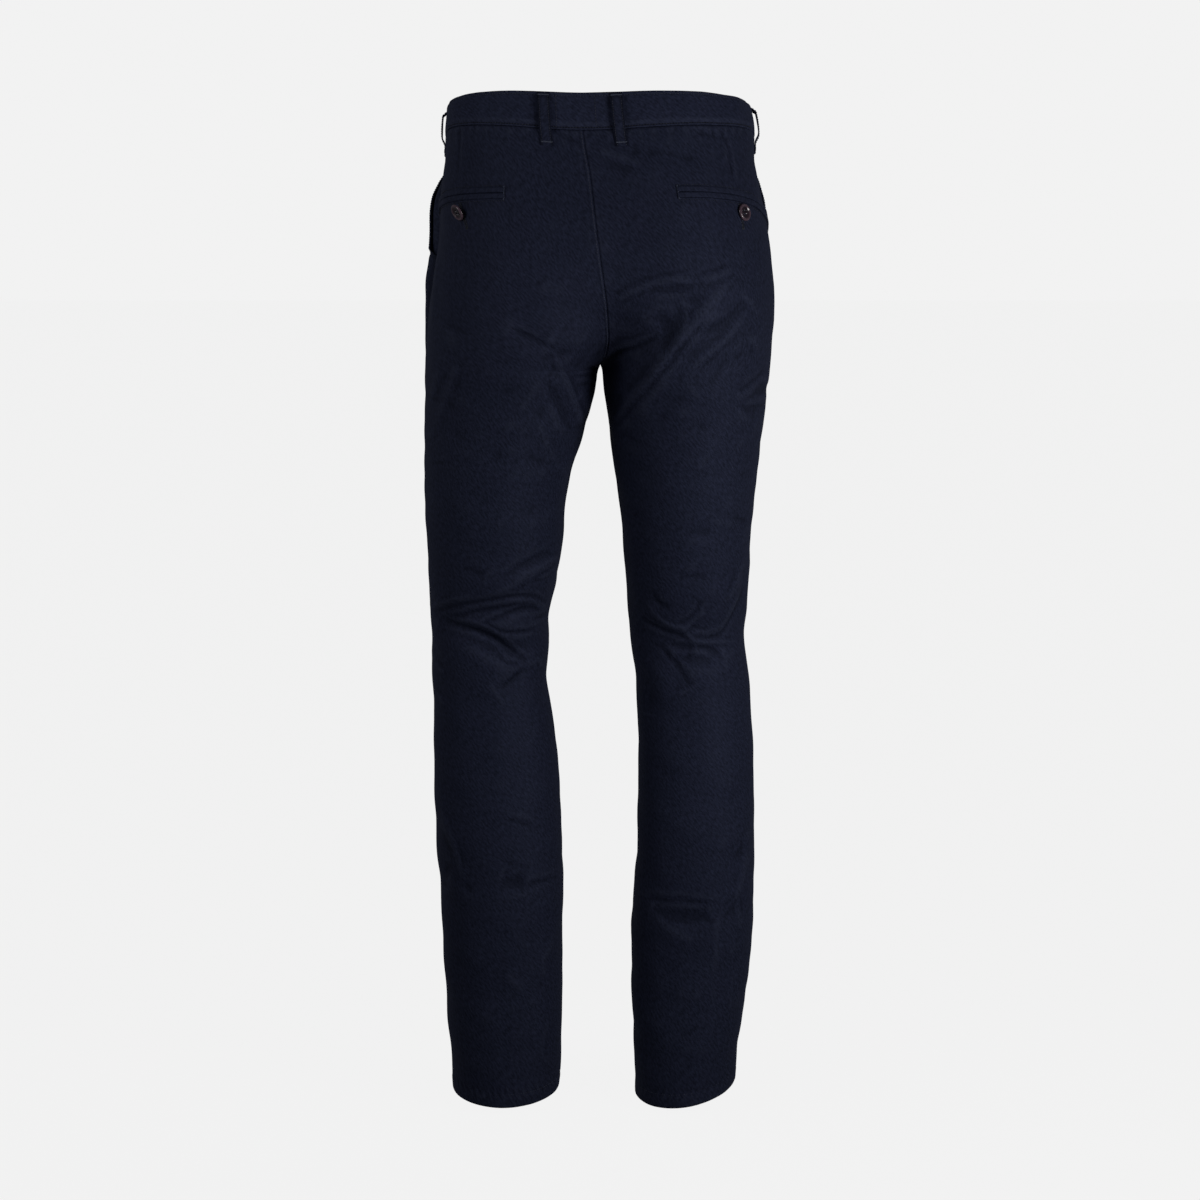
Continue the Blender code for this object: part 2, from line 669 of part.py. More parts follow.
def make_loop(name, leg, half, from_centre, cloth):
    """A strap standing off the band, on the front (-1) or the back (1) half of a leg."""
    levels, lift = np.array(LOOP_PATH).T
    length = half_length(leg, BAND_FOOT / 2, half)[0]
    centre = half * (1 - (from_centre if from_centre <= 1 else from_centre / length))
    turns = np.tile(centre + np.linspace(-0.5, 0.5, 3) * LOOP_WIDTH / length, (len(levels), 1))
    stand = LOOP_REST + (LOOP_GAP - LOOP_REST) * lift + BAND_PROUD * (levels > BAND_FOOT)
    stand = stand[:, None] + np.zeros(turns.shape)
    outer, inner = (offset(leg, levels, turns, stand + d) for d in (LOOP_THICKNESS, 0))
    wall(name, outer, inner, cloth)


def make_welt(leg, upper, cloth):
    """One lip of a back pocket, laid on the panel."""
    top = WELT_LEVEL[leg] + (WELT_HEIGHT + SEAM_GAP if upper else 0)
    levels = np.linspace(top, top - WELT_HEIGHT, 3)
    length = half_length(leg, WELT_LEVEL[leg], 1)[0]
    ends = (1 - (WELT_INNER[leg]) / length, WELT_OUTER / length)
    turns = spread(levels, 11, *ends)
    drop = WELT_DROP[leg] * np.linspace(0, 1, 11) ** WELT_BEND[leg]
    distances = (WELT_REST + WELT_THICKNESS, WELT_REST)
    outer, inner = (offset_bent(leg, levels, turns, d, drop) for d in distances)
    wall(f"welt_{'upper' if upper else 'lower'}_{LEG_NAMES[leg]}", outer, inner, cloth)


def button_mesh(name, finish):
    """A turned button with a raised rim and a dished middle, pierced by four holes."""
    angles = np.arange(BUTTON_SIDES) * 2 * math.pi / BUTTON_SIDES
    middles = (BUTTON_PROFILE[0], BUTTON_PROFILE[-1])
    points = [(0, 0, height * BUTTON_THICKNESS) for _, height in middles]
    for share, height in BUTTON_PROFILE[1:-1]:
        radius = share * BUTTON_RADIUS
        points += [(radius * math.cos(a), radius * math.sin(a), height * BUTTON_THICKNESS) for a in angles]
    rings = 2 + np.arange(BUTTON_SIDES * (len(BUTTON_PROFILE) - 2)).reshape(-1, BUTTON_SIDES)
    faces = []
    for low, high in zip(rings[:-1], rings[1:]):
        faces += [tuple(q) for q in np.stack([low, np.roll(low, -1), np.roll(high, -1), high], axis=-1)]
    faces += [(0, b, a) for a, b in zip(rings[0], np.roll(rings[0], -1))]
    faces += [(1, a, b) for a, b in zip(rings[-1], np.roll(rings[-1], -1))]
    made = add_object(name, points, faces, finish)
    for i in range(BUTTON_HOLES):
        through = 4 * BUTTON_THICKNESS * MM
        bpy.ops.mesh.primitive_cylinder_add(vertices=8, radius=BUTTON_HOLE * MM, depth=through)
        cutter = bpy.context.active_object
        cutter.name = f"{name}_hole_{i}"
        cutter.hide_render = True
        cutter.display_type = "WIRE"
        angle = math.pi * (2 * i + 1) / BUTTON_HOLES
        cutter.location = Vector((math.cos(angle), math.sin(angle), 0)) * BUTTON_HOLE_CIRCLE * MM
        cutter.parent = made
        cut = made.modifiers.new(f"hole_{i}", "BOOLEAN")
        cut.object = cutter
        cut.operation = "DIFFERENCE"
    return made


def make_button(name, leg, level, turn, lift, finish):
    """A button standing just off the cloth, with its axis along the cloth's normal."""
    levels, turns = np.array([float(level)]), np.array([[float(turn)]])
    place = offset(leg, levels, turns, lift)[0, 0]
    axis = Vector(normals(body, leg, levels, turns)[0, 0])
    made = button_mesh(name, finish)
    turned = axis.to_track_quat("Z", "Y").to_matrix().to_4x4()
    made.matrix_world = Matrix.Translation(Vector(place) * MM) @ turned
    return made


def make_fly(cloth, tape, metal):
    """The shield and the closed zip, which lie behind the fly's edge."""
    levels = np.linspace(BAND_FOOT - 3, FLY_FOOT, 9)

    def strip(name, width, depth, thickness, rows, finish):
        """A strip down the centre front, as wide to each side of it, at one depth."""
        outer, inner = [], []
        for leg in (RIGHT, LEFT):
            edge = -1 + (width / 2) / half_length(leg, rows, -1)
            turns = spread(rows, 3, edge, -1) if leg == RIGHT else spread(rows, 3, -1, edge)[:, 1:]
            outer.append(offset(leg, rows, turns, depth))
            inner.append(offset(leg, rows, turns, depth - thickness))
        wall(name, np.hstack(outer), np.hstack(inner), finish)

    strip("zip_tape", TAPE_WIDTH, UNDER, TAPE_THICKNESS, levels, tape)
    chain_depth = UNDER - TAPE_THICKNESS - SEAM_GAP
    strip("zip_chain", CHAIN_WIDTH, chain_depth, CHAIN_THICKNESS, levels[1:-1], metal)
    shield_depth = chain_depth - CHAIN_THICKNESS - SEAM_GAP
    strip("fly_shield", SHIELD_WIDTH, shield_depth, WALL, levels, cloth)


def main():
    for old in list(bpy.data.objects):
        bpy.data.objects.remove(old, do_unlink=True)
    cloth = material("navy_twill", (0.008, 0.010, 0.018), 0.85)
    horn = material("dark_horn", (0.020, 0.008, 0.018), 0.18)
    tape = material("navy_tape", (0.010, 0.012, 0.022), 0.9)
    metal = material("zip_metal", (0.55, 0.52, 0.48), 0.35, 1.0)
    for leg in (LEFT, RIGHT):
        make_back(leg, cloth)
        make_front(leg, cloth)
        make_facing(leg, cloth)
        make_hem(leg, cloth)
        make_welt(leg, True, cloth)
        make_welt(leg, False, cloth)
        level, turn = BACK_BUTTON[leg]
        make_button("back_button_" + LEG_NAMES[leg], leg, level, turn, BUTTON_LIFT, horn)
    make_waistband(cloth)
    for row in LOOPS:
        make_loop(cloth=cloth, **dict(zip(LOOP_COLUMNS, row)))
    make_button("waist_button", LEFT, *WAIST_BUTTON, BAND_PROUD + BUTTON_LIFT, horn)
    make_fly(cloth, tape, metal)


main()
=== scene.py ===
import math

import bpy
import numpy as np
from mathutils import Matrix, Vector


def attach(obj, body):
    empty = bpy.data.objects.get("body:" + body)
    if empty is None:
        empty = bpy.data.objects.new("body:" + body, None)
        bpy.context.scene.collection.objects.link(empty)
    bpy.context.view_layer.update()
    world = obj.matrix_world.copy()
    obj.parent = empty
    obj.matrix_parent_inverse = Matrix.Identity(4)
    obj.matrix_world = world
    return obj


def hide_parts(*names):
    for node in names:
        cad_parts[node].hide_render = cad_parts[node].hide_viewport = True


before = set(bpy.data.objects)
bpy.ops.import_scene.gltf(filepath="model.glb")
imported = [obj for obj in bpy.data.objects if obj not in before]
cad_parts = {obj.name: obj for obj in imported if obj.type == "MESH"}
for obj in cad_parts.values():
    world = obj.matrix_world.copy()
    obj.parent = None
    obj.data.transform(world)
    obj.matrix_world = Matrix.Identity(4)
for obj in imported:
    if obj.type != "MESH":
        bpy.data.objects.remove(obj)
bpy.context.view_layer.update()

# ---------------------------------------------------------------------------------------------------------
# Backs
# Each back is one piece of navy cotton twill from the waistband to the hem. It is sewn to its front at the
# side seam and the inseam, with the allowances pressed open, and to the other back at the centre seam.
# Lengths here are in millimetres. A place on the cloth is (leg, level, turn): level is the height at the side
# seam, and turn runs from -1 at the centre front or inseam, through 0 at the side seam, to 1 at the back.
# ---------------------------------------------------------------------------------------------------------

MM = 0.001
WALL = 1.5
SEAM_GAP = 0.3
UNDER = -(WALL + 0.4)
WAIST = 2.0
BAND_FOOT = WAIST - 38.3
CROTCH = -271.0
HEM = -1052.5
KNEE_TOP, KNEE_FOOT = -485.0, -650.0
LEFT, RIGHT = 1, -1
LEG_NAMES = {LEFT: "left", RIGHT: "right"}

SECTION_COLUMNS = ("level", "back", "front", "seam", "swell", "square", "round")
SECTIONS = (
    (6, 116, -115, 0, 0.16, 2.45, 34),
    (-36, 119, -118, 2, 0.20, 2.50, 34),
    (-80, 128, -121, 4, 0.28, 2.35, 32),
    (-130, 139, -121, 7, 0.35, 2.20, 30),
    (-180, 145, -118, 10, 0.40, 2.10, 26),
    (-230, 143, -113, 12, 0.45, 2.10, 18),
    (-271, 134, -108, 12, 0.500, 2.10, 11),
    (-310, 121, -103, 10, 0.521, 2.10, 8),
    (-350, 110, -98, 7, 0.544, 2.10, 4),
    (-420, 97, -91, 4, 0.583, 2.10, 1),
    (-500, 82, -85, 0, 0.607, 2.10, 1),
    (-560, 66, -80, -6, 0.630, 2.10, 1),
    (-620, 64, -71, -3, 0.637, 2.10, 1),
    (-700, 71, -62, 4, 0.622, 2.10, 1),
    (-780, 75, -56, 8, 0.616, 2.10, 1),
    (-860, 74, -51, 10, 0.613, 2.10, 1),
    (-950, 72, -48, 12, 0.616, 2.05, 1),
    (-1060, 71, -46, 13, 0.635, 1.95, 1),
)
SIDE_COLUMNS = ("level", "left_side", "right_side")
SIDES = (
    (6, 160.6, -157.6),
    (-36, 162.6, -162.4),
    (-60, 163.6, -162.6),
    (-80, 166.6, -166.5),
    (-100, 168.8, -171.0),
    (-130, 169.8, -177.0),
    (-160, 173.0, -181.5),
    (-190, 178.2, -184.6),
    (-220, 181.8, -184.6),
    (-250, 183.8, -182.4),
    (-320, 186.3, -175.6),
    (-390, 187.4, -167.2),
    (-460, 185.5, -161.2),
    (-530, 182.9, -159.0),
    (-560, 181.3, -155.6),
    (-590, 181.2, -158.3),
    (-620, 179.8, -162.0),
    (-690, 179.5, -165.5),
    (-780, 177.3, -167.0),
    (-830, 173.2, -166.8),
    (-880, 171.2, -165.2),
    (-930, 168.4, -161.0),
    (-980, 165.3, -154.5),
    (-1020, 161.5, -148.6),
    (-1060, 160.0, -146.8),
)
INSEAM_COLUMNS = ("level", "left_inseam", "right_inseam")
INSEAMS = (
    (-271, 0.0, 0.0),
    (-273, 1.3, -1.2),
    (-280, 2.9, -2.5),
    (-300, 6.4, -4.9),
    (-320, 11.7, -7.5),
    (-360, 23.7, -12.6),
    (-390, 32.3, -16.8),
    (-420, 37.8, -21.0),
    (-445, 39.2, -23.8),
    (-500, 46.6, -28.1),
    (-545, 55.8, -31.6),
    (-575, 55.6, -34.2),
    (-605, 57.6, -38.2),
    (-650, 51.3, -40.4),
    (-690, 45.8, -41.4),
    (-780, 41.7, -40.6),
    (-830, 40.2, -37.4),
    (-880, 41.0, -34.4),
    (-930, 41.3, -34.6),
    (-1020, 42.5, -37.7),
    (-1060, 45.6, -39.2),
)
CENTRE_COLUMNS = ("level", "centre_back", "centre_front")
CENTRES = (
    (6, 19.5, -21.0),
    (-36, 17.4, -20.5),
    (-80, 10.2, -18.5),
    (-136, 3.1, -14.0),
    (-180, -3.4, -10.5),
    (-210, -7.4, -8.0),
    (-240, -9.0, -5.0),
    (-260, -5.0, -2.0),
    (-271, 0.0, 0.0),
)
TIP_COLUMNS = ("level", "tip_back", "lift_side", "lift_back", "tip_left", "tip_right")
TIPS = (
    (6, 0.10, -6.0, 2.6, 0.0, 0.0),
    (-36, 0.10, 5.0, 4.7, 0.0, 0.0),
    (-90, 0.09, 2.0, 2.0, 0.0, 0.0),
    (-140, 0.06, 0.0, 0.0, 0.0, 0.0),
    (-200, 0.02, 0.0, 0.0, 0.0, 0.0),
    (-271, 0.0, 0.0, 0.0, 0.0, 0.0),
    (-940, 0.0, 0.0, 0.0, 0.0, 0.0),
    (-1000, -0.08, 0.0, 0.0, 0.0, -0.08),
    (-1060, -0.20, 0.0, 0.0, -0.02, -0.17),
)
TIP_REACH = 50.0
TIP_ABOUT = 0.6
LIFT_PEAK = 1.15
SEAT_RISE, FRONT_RISE = 118.0, 96.0
FULL_RISE = 0.99

# The largest folds, each through three places (across, up) on the back (1) or the front (-1)
FOLD_COLUMNS = ("face", "x1", "z1", "x2", "z2", "x3", "z3", "width", "depth")
FOLDS = (
    (1, -10, -250, -48, -240, -92, -204, 13, 4.5),
    (1, -26, -338, -78, -258, -142, -178, 15, -4.0),
    (1, -60, -270, -112, -238, -158, -206, 14, 4.0),
    (1, -96, -290, -132, -262, -160, -244, 13, 3.0),
    (1, -150, -318, -166, -300, -176, -286, 12, 3.0),
    (1, 92, -226, 72, -236, 54, -244, 12, 3.0),
    (1, 46, -256, 32, -292, 14, -330, 13, -3.0),
    (1, 176, -300, 164, -262, 150, -228, 15, -3.0),
    (1, 176, -540, 130, -528, 50, -530, 10, 4.5),
    (1, 174, -546, 122, -560, 74, -590, 11, 6.0),
    (1, 134, -548, 100, -568, 62, -560, 10, 3.5),
    (1, 108, -618, 88, -606, 62, -592, 12, 3.5),
    (1, -38, -546, -70, -562, -100, -570, 11, 4.0),
    (1, -76, -576, -106, -580, -132, -578, 10, 5.0),
    (1, -102, -568, -146, -548, -160, -484, 13, 4.5),
    (1, -40, -570, -70, -586, -92, -612, 11, 3.5),
    (1, 104, -812, 92, -816, 78, -820, 12, 2.5),
    (1, -56, -848, -88, -856, -118, -852, 11, 3.0),
    (-1, 168, -520, 120, -542, 66, -528, 13, 4.0),
    (-1, 70, -600, 112, -618, 160, -606, 14, 3.5),
    (-1, -44, -526, -92, -546, -146, -524, 13, 4.0),
    (-1, -60, -612, -104, -626, -150, -610, 14, 3.5),
    (-1, 10, -262, 50, -246, 96, -210, 14, 3.5),
    (-1, -16, -262, -54, -248, -100, -212, 14, 3.5),
    (-1, 60, -850, 100, -864, 146, -852, 14, 2.5),
    (-1, -56, -838, -96, -852, -140, -842, 14, 2.5),
)
FOLD_MEETING = 2.0
FOLD_LEFT_THERE = 0.3
FOLD_LOSS = 1 / 45
FOLD_ENDS = 0.7

# Finer creases: how wide and deep each is (a negative depth is a ridge), how high a ridge beside it stands
# (above it, or below where negative), whether it starts at its full depth, and its places (across, up)
BACK_CREASES = (
    # seat, wearer's right
    (3, 2.2, 0.5, 1, ((-3, -268), (-19, -254), (-36, -248), (-51, -240), (-60, -236))),
    (7, 2.4, 0, 0, ((-15, -262), (-19, -293), (-14, -332))),
    (6.5, -2, 0, 0, (
        (-9, -337), (-26, -311), (-41, -291), (-57, -270), (-70, -249), (-92, -223), (-118, -192),
        (-150, -165)
    )),
    (2.8, 1.3, 0.3, 0, ((-13, -338), (-41, -302), (-67, -269), (-87, -243), (-107, -218))),
    (4, -1.6, 0, 0, ((-82, -197), (-88, -207), (-86, -223), (-77, -243), (-62, -269))),
    (8, 2, 0, 0, ((-59, -208), (-69, -230), (-66, -253))),
    (4, -1.5, 0, 0, ((-17, -198), (-41, -185), (-66, -177), (-92, -175))),
    (4.5, 1.9, 0, 0, ((-51, -188), (-74, -186), (-96, -183))),
    (4, -1.2, 0, 0, ((-102, -177), (-121, -172), (-139, -165))),
    (6, 2.2, 0, 0, ((-94, -233), (-123, -223), (-139, -213), (-150, -198))),
    (3.9, -0.78, 0, 0, ((-153, -209), (-139, -229), (-118, -249), (-92, -269))),
    (6.5, 1.35, 0, 0, ((-93, -276), (-113, -261), (-139, -241), (-166, -225))),
    (4, 2, 0, 0, ((-177, -268), (-162, -282), (-145, -294))),
    (4, -1.5, 0, 0, ((-181, -302), (-166, -304), (-151, -308))),
    (8, 0.9, 0, 0, ((-29, -45), (-56, -47), (-82, -50), (-120, -63))),
    (8, 0.8, 0, 1, ((10, -53), (-20, -63), (-53, -67))),
    (5, -0.7, 0, 0, ((0, -45), (-20, -52), (-43, -60))),
    (4, 0.8, 0, 1, ((-103, -27), (-115, -30), (-128, -35))),
    # darts and the edges of the pocket bags
    (1.9, 0.9, 0, 1, ((-125.8, -25), (-132.8, -44.5), (-136.3, -65), (-139.9, -88))),
    (1.9, 0.8, 0, 1, ((144.9, -25), (146.3, -56.7), (147.6, -86))),
    (2.2, 0.2, -0.5, 0, ((92, -50), (92, -90), (93, -150))),
    (2.2, 0.2, -0.5, 0, ((-80, -55), (-80, -92), (-79, -150))),
    # seat, wearer's left
    (2.8, 1.5, 0.4, 0, ((89, -227), (67, -238), (47, -247))),
    (3, -1.7, 0, 0, ((48, -249), (39, -276), (29, -303), (18, -332))),
    (6, 1.9, 0, 0, ((54, -280), (42, -307), (31, -337))),
    (4.5, 1.4, 0, 0, ((22, -301), (15, -327), (10, -352))),
    (2.8, -0.8, 0, 0, ((33, -273), (16, -274), (-1, -275))),
    (2.8, -0.7, 0, 0, ((29, -281), (14, -282), (-1, -286))),
    (5, -1.5, 0, 0, ((147, -265), (162, -303), (179, -347))),
    (3, -1, 0, 0, ((165, -269), (171, -287), (178, -307))),
    (3.5, -1.3, 0, 0, ((170, -153), (173, -191), (176, -231))),
    (4, 0.9, 0, 1, ((47, -25), (33, -32), (16, -40))),
    # thighs
    (5.7, -0.56, 0, 0, ((85, -304), (67, -322), (57, -344), (47, -366), (39, -386))),
    (8.6, -0.35, 0, 0, ((101, -340), (88, -364), (76, -389))),
    (5.7, 0.35, 0, 0, ((77, -356), (66, -365), (54, -373))),
    (3.5, 0.35, 0.4, 0, ((181, -373), (162, -368), (144, -364))),
    (5.7, 0.44, 0.3, 0, ((-84, -445), (-105, -441), (-121, -450), (-139, -465))),
    (5.7, 0.41, 0.3, 0, ((-108, -417), (-137, -424), (-157, -436))),
    (5.7, -0.35, 0, 0, ((-111, -427), (-126, -432), (-141, -438))),
    # behind the left knee
    (5, -1.9, 0, 0, ((110, -508), (74, -488), (46, -471))),
    (5, 1.8, 0, 0, ((108, -492), (79, -477), (51, -465))),
    (2.5, -1, 0, 0, ((66, -494), (55, -488), (45, -483))),
    (6.5, 0.72, 0, 0, ((143, -478), (131, -483), (120, -489))),
    (3.5, -1.4, 0, 1, ((181, -528), (156, -516), (130, -507))),
    (3, 2, 0, 0, ((174, -530), (148, -521), (105, -513), (84, -511), (69, -513), (51, -528))),
    (3, -1.2, 0, 0, ((170, -534), (143, -528), (116, -521), (90, -517), (69, -519), (57, -528))),
    (2.5, 1.4, 0, 0, ((157, -536), (132, -529), (116, -526), (97, -522))),
    (2.5, -1.1, 0, 0, ((129, -540), (116, -533), (100, -527), (83, -521))),
    (3, 1.7, 0, 0, ((122, -538), (106, -536), (90, -530), (74, -527), (64, -530))),
    (3, 1.3, 0, 0, ((72, -538), (59, -537), (51, -534))),
    (3, 1.9, 0, 0, ((127, -539), (116, -544), (106, -549), (93, -551), (80, -551), (68, -548))),
    (2.5, -1.3, 0, 0, (
        (173, -533), (154, -538), (132, -540), (116, -546), (101, -557), (85, -569), (73, -579)
    )),
    (3.5, 3.2, -0.3, 0, (
        (167, -541), (149, -546), (133, -549), (117, -555), (106, -560), (96, -568), (85, -577),
        (76, -584)
    )),
    (3, 1.5, 0, 0, ((109, -573), (98, -583), (82, -586))),
    (4, 1.7, 0.3, 0, ((106, -610), (94, -604), (83, -596), (69, -590))),
    (3, -1.3, 0, 0, ((182, -573), (174, -590), (167, -598))),
    (3, -1.1, 0, 0, ((178, -618), (171, -624), (167, -633))),
    # behind the right knee
    (3.2, -1.53, 0, 0, (
        (-46, -514), (-58, -532), (-72, -541), (-85, -545), (-91, -545), (-100, -536), (-113, -527)
    )),
    (2.6, 1.35, 0, 0, ((-67, -537), (-79, -540), (-90, -537), (-98, -531), (-103, -523), (-106, -514))),
    (3.7, 1.35, 0, 0, ((-55, -504), (-61, -518), (-76, -524))),
    (3.2, 1.89, 0, 0, ((-43, -536), (-53, -543), (-64, -548), (-74, -551), (-95, -557))),
    (2.6, 1.08, 0, 0, ((-95, -543), (-106, -546), (-114, -546))),
    (3.7, 2.43, 0.35, 0, (
        (-98, -553), (-111, -557), (-122, -556), (-132, -553), (-141, -542), (-147, -530),
        (-152, -518), (-154, -504), (-158, -475)
    )),
    (2.6, -1.17, 0, 0, ((-86, -544), (-95, -555), (-106, -561), (-147, -563))),
    (3.7, 2.25, -0.35, 0, ((-73, -566), (-90, -566), (-106, -567), (-119, -570), (-133, -579))),
    (4.2, 1.71, 0, 0, ((-48, -562), (-64, -569), (-72, -578), (-81, -587), (-89, -597), (-98, -611))),
    (6.3, 1.89, 0, 0, ((-38, -587), (-48, -606), (-53, -617), (-51, -641))),
    (8.2, 0.63, 0, 0, ((-91, -611), (-117, -620), (-134, -625))),
    (4.2, -1.35, 0, 0, ((-152, -473), (-146, -496), (-138, -511), (-129, -519))),
    (4.1, 0.65, 0, 0, ((-82, -490), (-95, -488), (-113, -490))),
    # calf, wearer's left
    (4, -1.5, 0, 0, ((174, -712), (166, -755), (155, -786), (147, -817))),
    (4, 1.4, 0, 0, ((161, -800), (166, -816), (167, -831))),
    (3, 1, 0, 0, ((144, -820), (141, -826), (138, -832))),
    (3.9, 0.48, 0.4, 0, ((104, -747), (85, -754), (66, -763))),
    (3.9, 0.48, 0.3, 0, ((104, -794), (91, -799), (77, -805))),
    (5.9, -0.54, 0, 0, ((126, -817), (101, -812), (77, -808))),
    (3.9, 0.64, 0.3, 0, ((84, -830), (75, -822), (59, -819), (45, -817))),
    (3.2, 0.4, 0, 0, ((94, -839), (85, -839), (77, -839))),
    (5.2, -0.9, 0, 0, ((54, -834), (51, -865), (54, -892), (61, -912), (48, -957))),
    (5.2, -0.78, 0, 0, ((56, -972), (63, -1005), (50, -1029))),
    (6.5, 0.59, 0, 0, ((89, -917), (75, -926), (61, -936))),
    (5.2, -0.5, 0, 0, ((98, -868), (86, -881), (73, -896))),
    (5.2, -0.5, 0, 0, ((104, -911), (86, -936), (68, -957))),
    (7.8, 0.7, 0, 0, ((153, -861), (153, -907), (155, -956))),
    (9.1, 0.72, 0, 0, ((108, -910), (104, -969), (100, -1038))),
    # calf, wearer's right
    (3.9, 0.94, 0.35, 1, ((-57, -839), (-91, -838), (-131, -843))),
    (3.2, -0.5, 0, 0, ((-62, -844), (-88, -843), (-114, -846))),
    (3.9, -0.45, 0, 0, ((-52, -850), (-75, -869), (-98, -882))),
    (3.9, -0.41, 0, 0, ((-57, -887), (-65, -894), (-75, -901))),
    (9.1, 0.66, 0, 0, ((-69, -901), (-75, -936), (-66, -974))),
    (5.2, -0.6, 0, 0, ((-130, -841), (-125, -871), (-122, -937), (-121, -1007))),
    (5.2, -0.55, 0, 0, ((-137, -870), (-142, -906), (-141, -940), (-135, -1010))),
    (3, -1, 0, 0, ((-148, -844), (-149, -858), (-150, -872))),
    (4, -1.5, 0, 0, ((-145, -842), (-156, -799), (-158, -765))),
)
FRONT_CREASES = (
    # out from the fly and the crotch
    (4, 1.2, 0.2, 0, ((6, -262), (40, -262), (84, -240))),
    (4, 1.1, 0, 0, ((14, -280), (48, -292), (92, -280))),
    (4, 0.9, 0, 0, ((20, -310), (52, -330), (86, -326))),
    (4.5, 1.3, 0.2, 0, ((-6, -264), (-38, -258), (-76, -228))),
    (4, 1.0, 0, 0, ((-16, -284), (-50, -298), (-96, -290))),
    (4, 0.8, 0, 0, ((-24, -322), (-54, -336), (-80, -330))),
    (3.5, 0.9, 0, 0, ((-20, -246), (-50, -232), (-80, -204))),
    # hips and lap
    (5, 1.0, 0, 0, ((168, -170), (130, -184), (92, -188))),
    (5, 0.9, 0, 0, ((-172, -166), (-136, -178), (-98, -184))),
    (6, 0.8, 0, 0, ((60, -120), (90, -135), (124, -130))),
    (6, 0.7, 0, 0, ((-52, -128), (-86, -142), (-118, -134))),
    # knees
    (5, 1.3, 0.2, 0, ((168, -505), (130, -515), (84, -500))),
    (4, 1.2, 0, 0, ((160, -560), (120, -575), (70, -566))),
    (4, 1.3, 0.2, 0, ((74, -585), (104, -600), (150, -590))),
    (4.5, 1.1, 0, 0, ((60, -640), (100, -652), (150, -640))),
    (5, 1.3, 0.2, 0, ((-146, -498), (-108, -506), (-62, -494))),
    (4, 1.2, 0, 0, ((-142, -556), (-102, -572), (-52, -560))),
    (4, 1.2, 0.2, 0, ((-54, -592), (-88, -606), (-136, -598))),
    (4.5, 1.0, 0, 0, ((-46, -648), (-84, -660), (-134, -650))),
    # shins and ankles
    (4, 0.9, 0, 0, ((60, -760), (95, -772), (140, -764))),
    (4, 0.9, 0.2, 0, ((60, -936), (96, -946), (140, -938))),
    (4, 0.8, 0, 0, ((-52, -748), (-88, -758), (-128, -752))),
    (4, 0.9, 0.2, 0, ((-48, -930), (-84, -942), (-126, -936))),
    (8, -1.0, 0, 0, ((110, -690), (108, -800), (104, -900))),
    (8, -0.9, 0, 0, ((-100, -690), (-97, -800), (-92, -900))),
)


def smooth(at, levels, values):
    """A monotone cubic through the values: each slope is the harmonic mean of the two rises beside it."""
    order = np.argsort(levels)
    levels = np.asarray(levels, float)[order]
    values = np.asarray(values, float)[order]
    rises = np.diff(values) / np.diff(levels)
    slopes = np.r_[rises[0], np.zeros(len(values) - 2), rises[-1]]
    below, above = rises[:-1], rises[1:]
    same = below * above > 0
    slopes[1:-1][same] = 2 * below[same] * above[same] / (below + above)[same]
    at = np.asarray(at, float)
    i = np.clip(np.searchsorted(levels, at) - 1, 0, len(levels) - 2)
    width = levels[i + 1] - levels[i]
    t = (at - levels[i]) / width
    return (
        values[i] * (1 + 2 * t) * (1 - t) ** 2
        + values[i + 1] * t**2 * (3 - 2 * t)
        + slopes[i] * width * t * (1 - t) ** 2
        - slopes[i + 1] * width * t**2 * (1 - t)
    )


def read(table, columns, name, at):
    """One named column of a table, read at these levels."""
    rows = np.array(table, float)
    return smooth(at, rows[:, 0], rows[:, columns.index(name)])


def rise_share(levels, face):
    """How deep the centre seam lies, on a quarter circle from 0 at the crotch to nearly 1 at its top."""
    up = np.clip((levels - CROTCH) / (SEAT_RISE if face > 0 else FRONT_RISE), 0, 1)
    return FULL_RISE * np.sqrt(1 - (1 - up) ** 2)


def quarter(levels, leg, face, points):
    """One face's part of the section at each level, from its centre seam or inseam to the side seam.

    Both quarters are superellipses about the place where the section is deepest. They are drawn in
    q = sqrt((x - c)^2 + r^2) - r, not in x, which rounds the halves into each other at the centre c.
    """
    levels = levels[:, None]
    depth_name, centre_name = ("back", "centre_back") if face > 0 else ("front", "centre_front")
    seam, depth, swell, square, radius = (
        read(SECTIONS, SECTION_COLUMNS, name, levels)
        for name in ("seam", depth_name, "swell", "square", "round")
    )
    depth = depth - seam
    side = read(SIDES, SIDE_COLUMNS, LEG_NAMES[leg] + "_side", levels)
    below = levels < CROTCH
    inseams = [read(INSEAMS, INSEAM_COLUMNS, n + "_inseam", levels) for n in ("left", "right")]
    middle = read(CENTRES, CENTRE_COLUMNS, centre_name, levels)
    middle = np.where(below, (inseams[0] + inseams[1]) / 2, middle)
    inner = np.where(below, inseams[0] if leg == LEFT else inseams[1], middle)
    core = middle + swell * (side - middle)
    q_side, q_core, q_inner = (np.hypot(x - middle, radius) - radius for x in (side, core, inner))
    share = rise_share(levels, face)
    start = np.arcsin(share ** (square / 2))
    reach = (q_core - q_inner) / (1 - share**square) ** (1 / square)
    t = np.linspace(0, 1, points)[None, :]
    angle = np.hstack([start + (math.pi / 2 - start) * t**1.5, math.pi / 2 * (1 - t[:, 1:]) + 0 * start])
    along, deep = (np.clip(f(angle), 0, 1) ** (2 / square) for f in (np.cos, np.sin))
    q = q_core + np.where(np.arange(2 * points - 1) < points, -reach, q_side - q_core) * along
    x = middle + leg * np.sqrt(np.clip((np.clip(q, 0, None) + radius) ** 2 - radius**2, 0, None))
    return x, seam + depth * deep


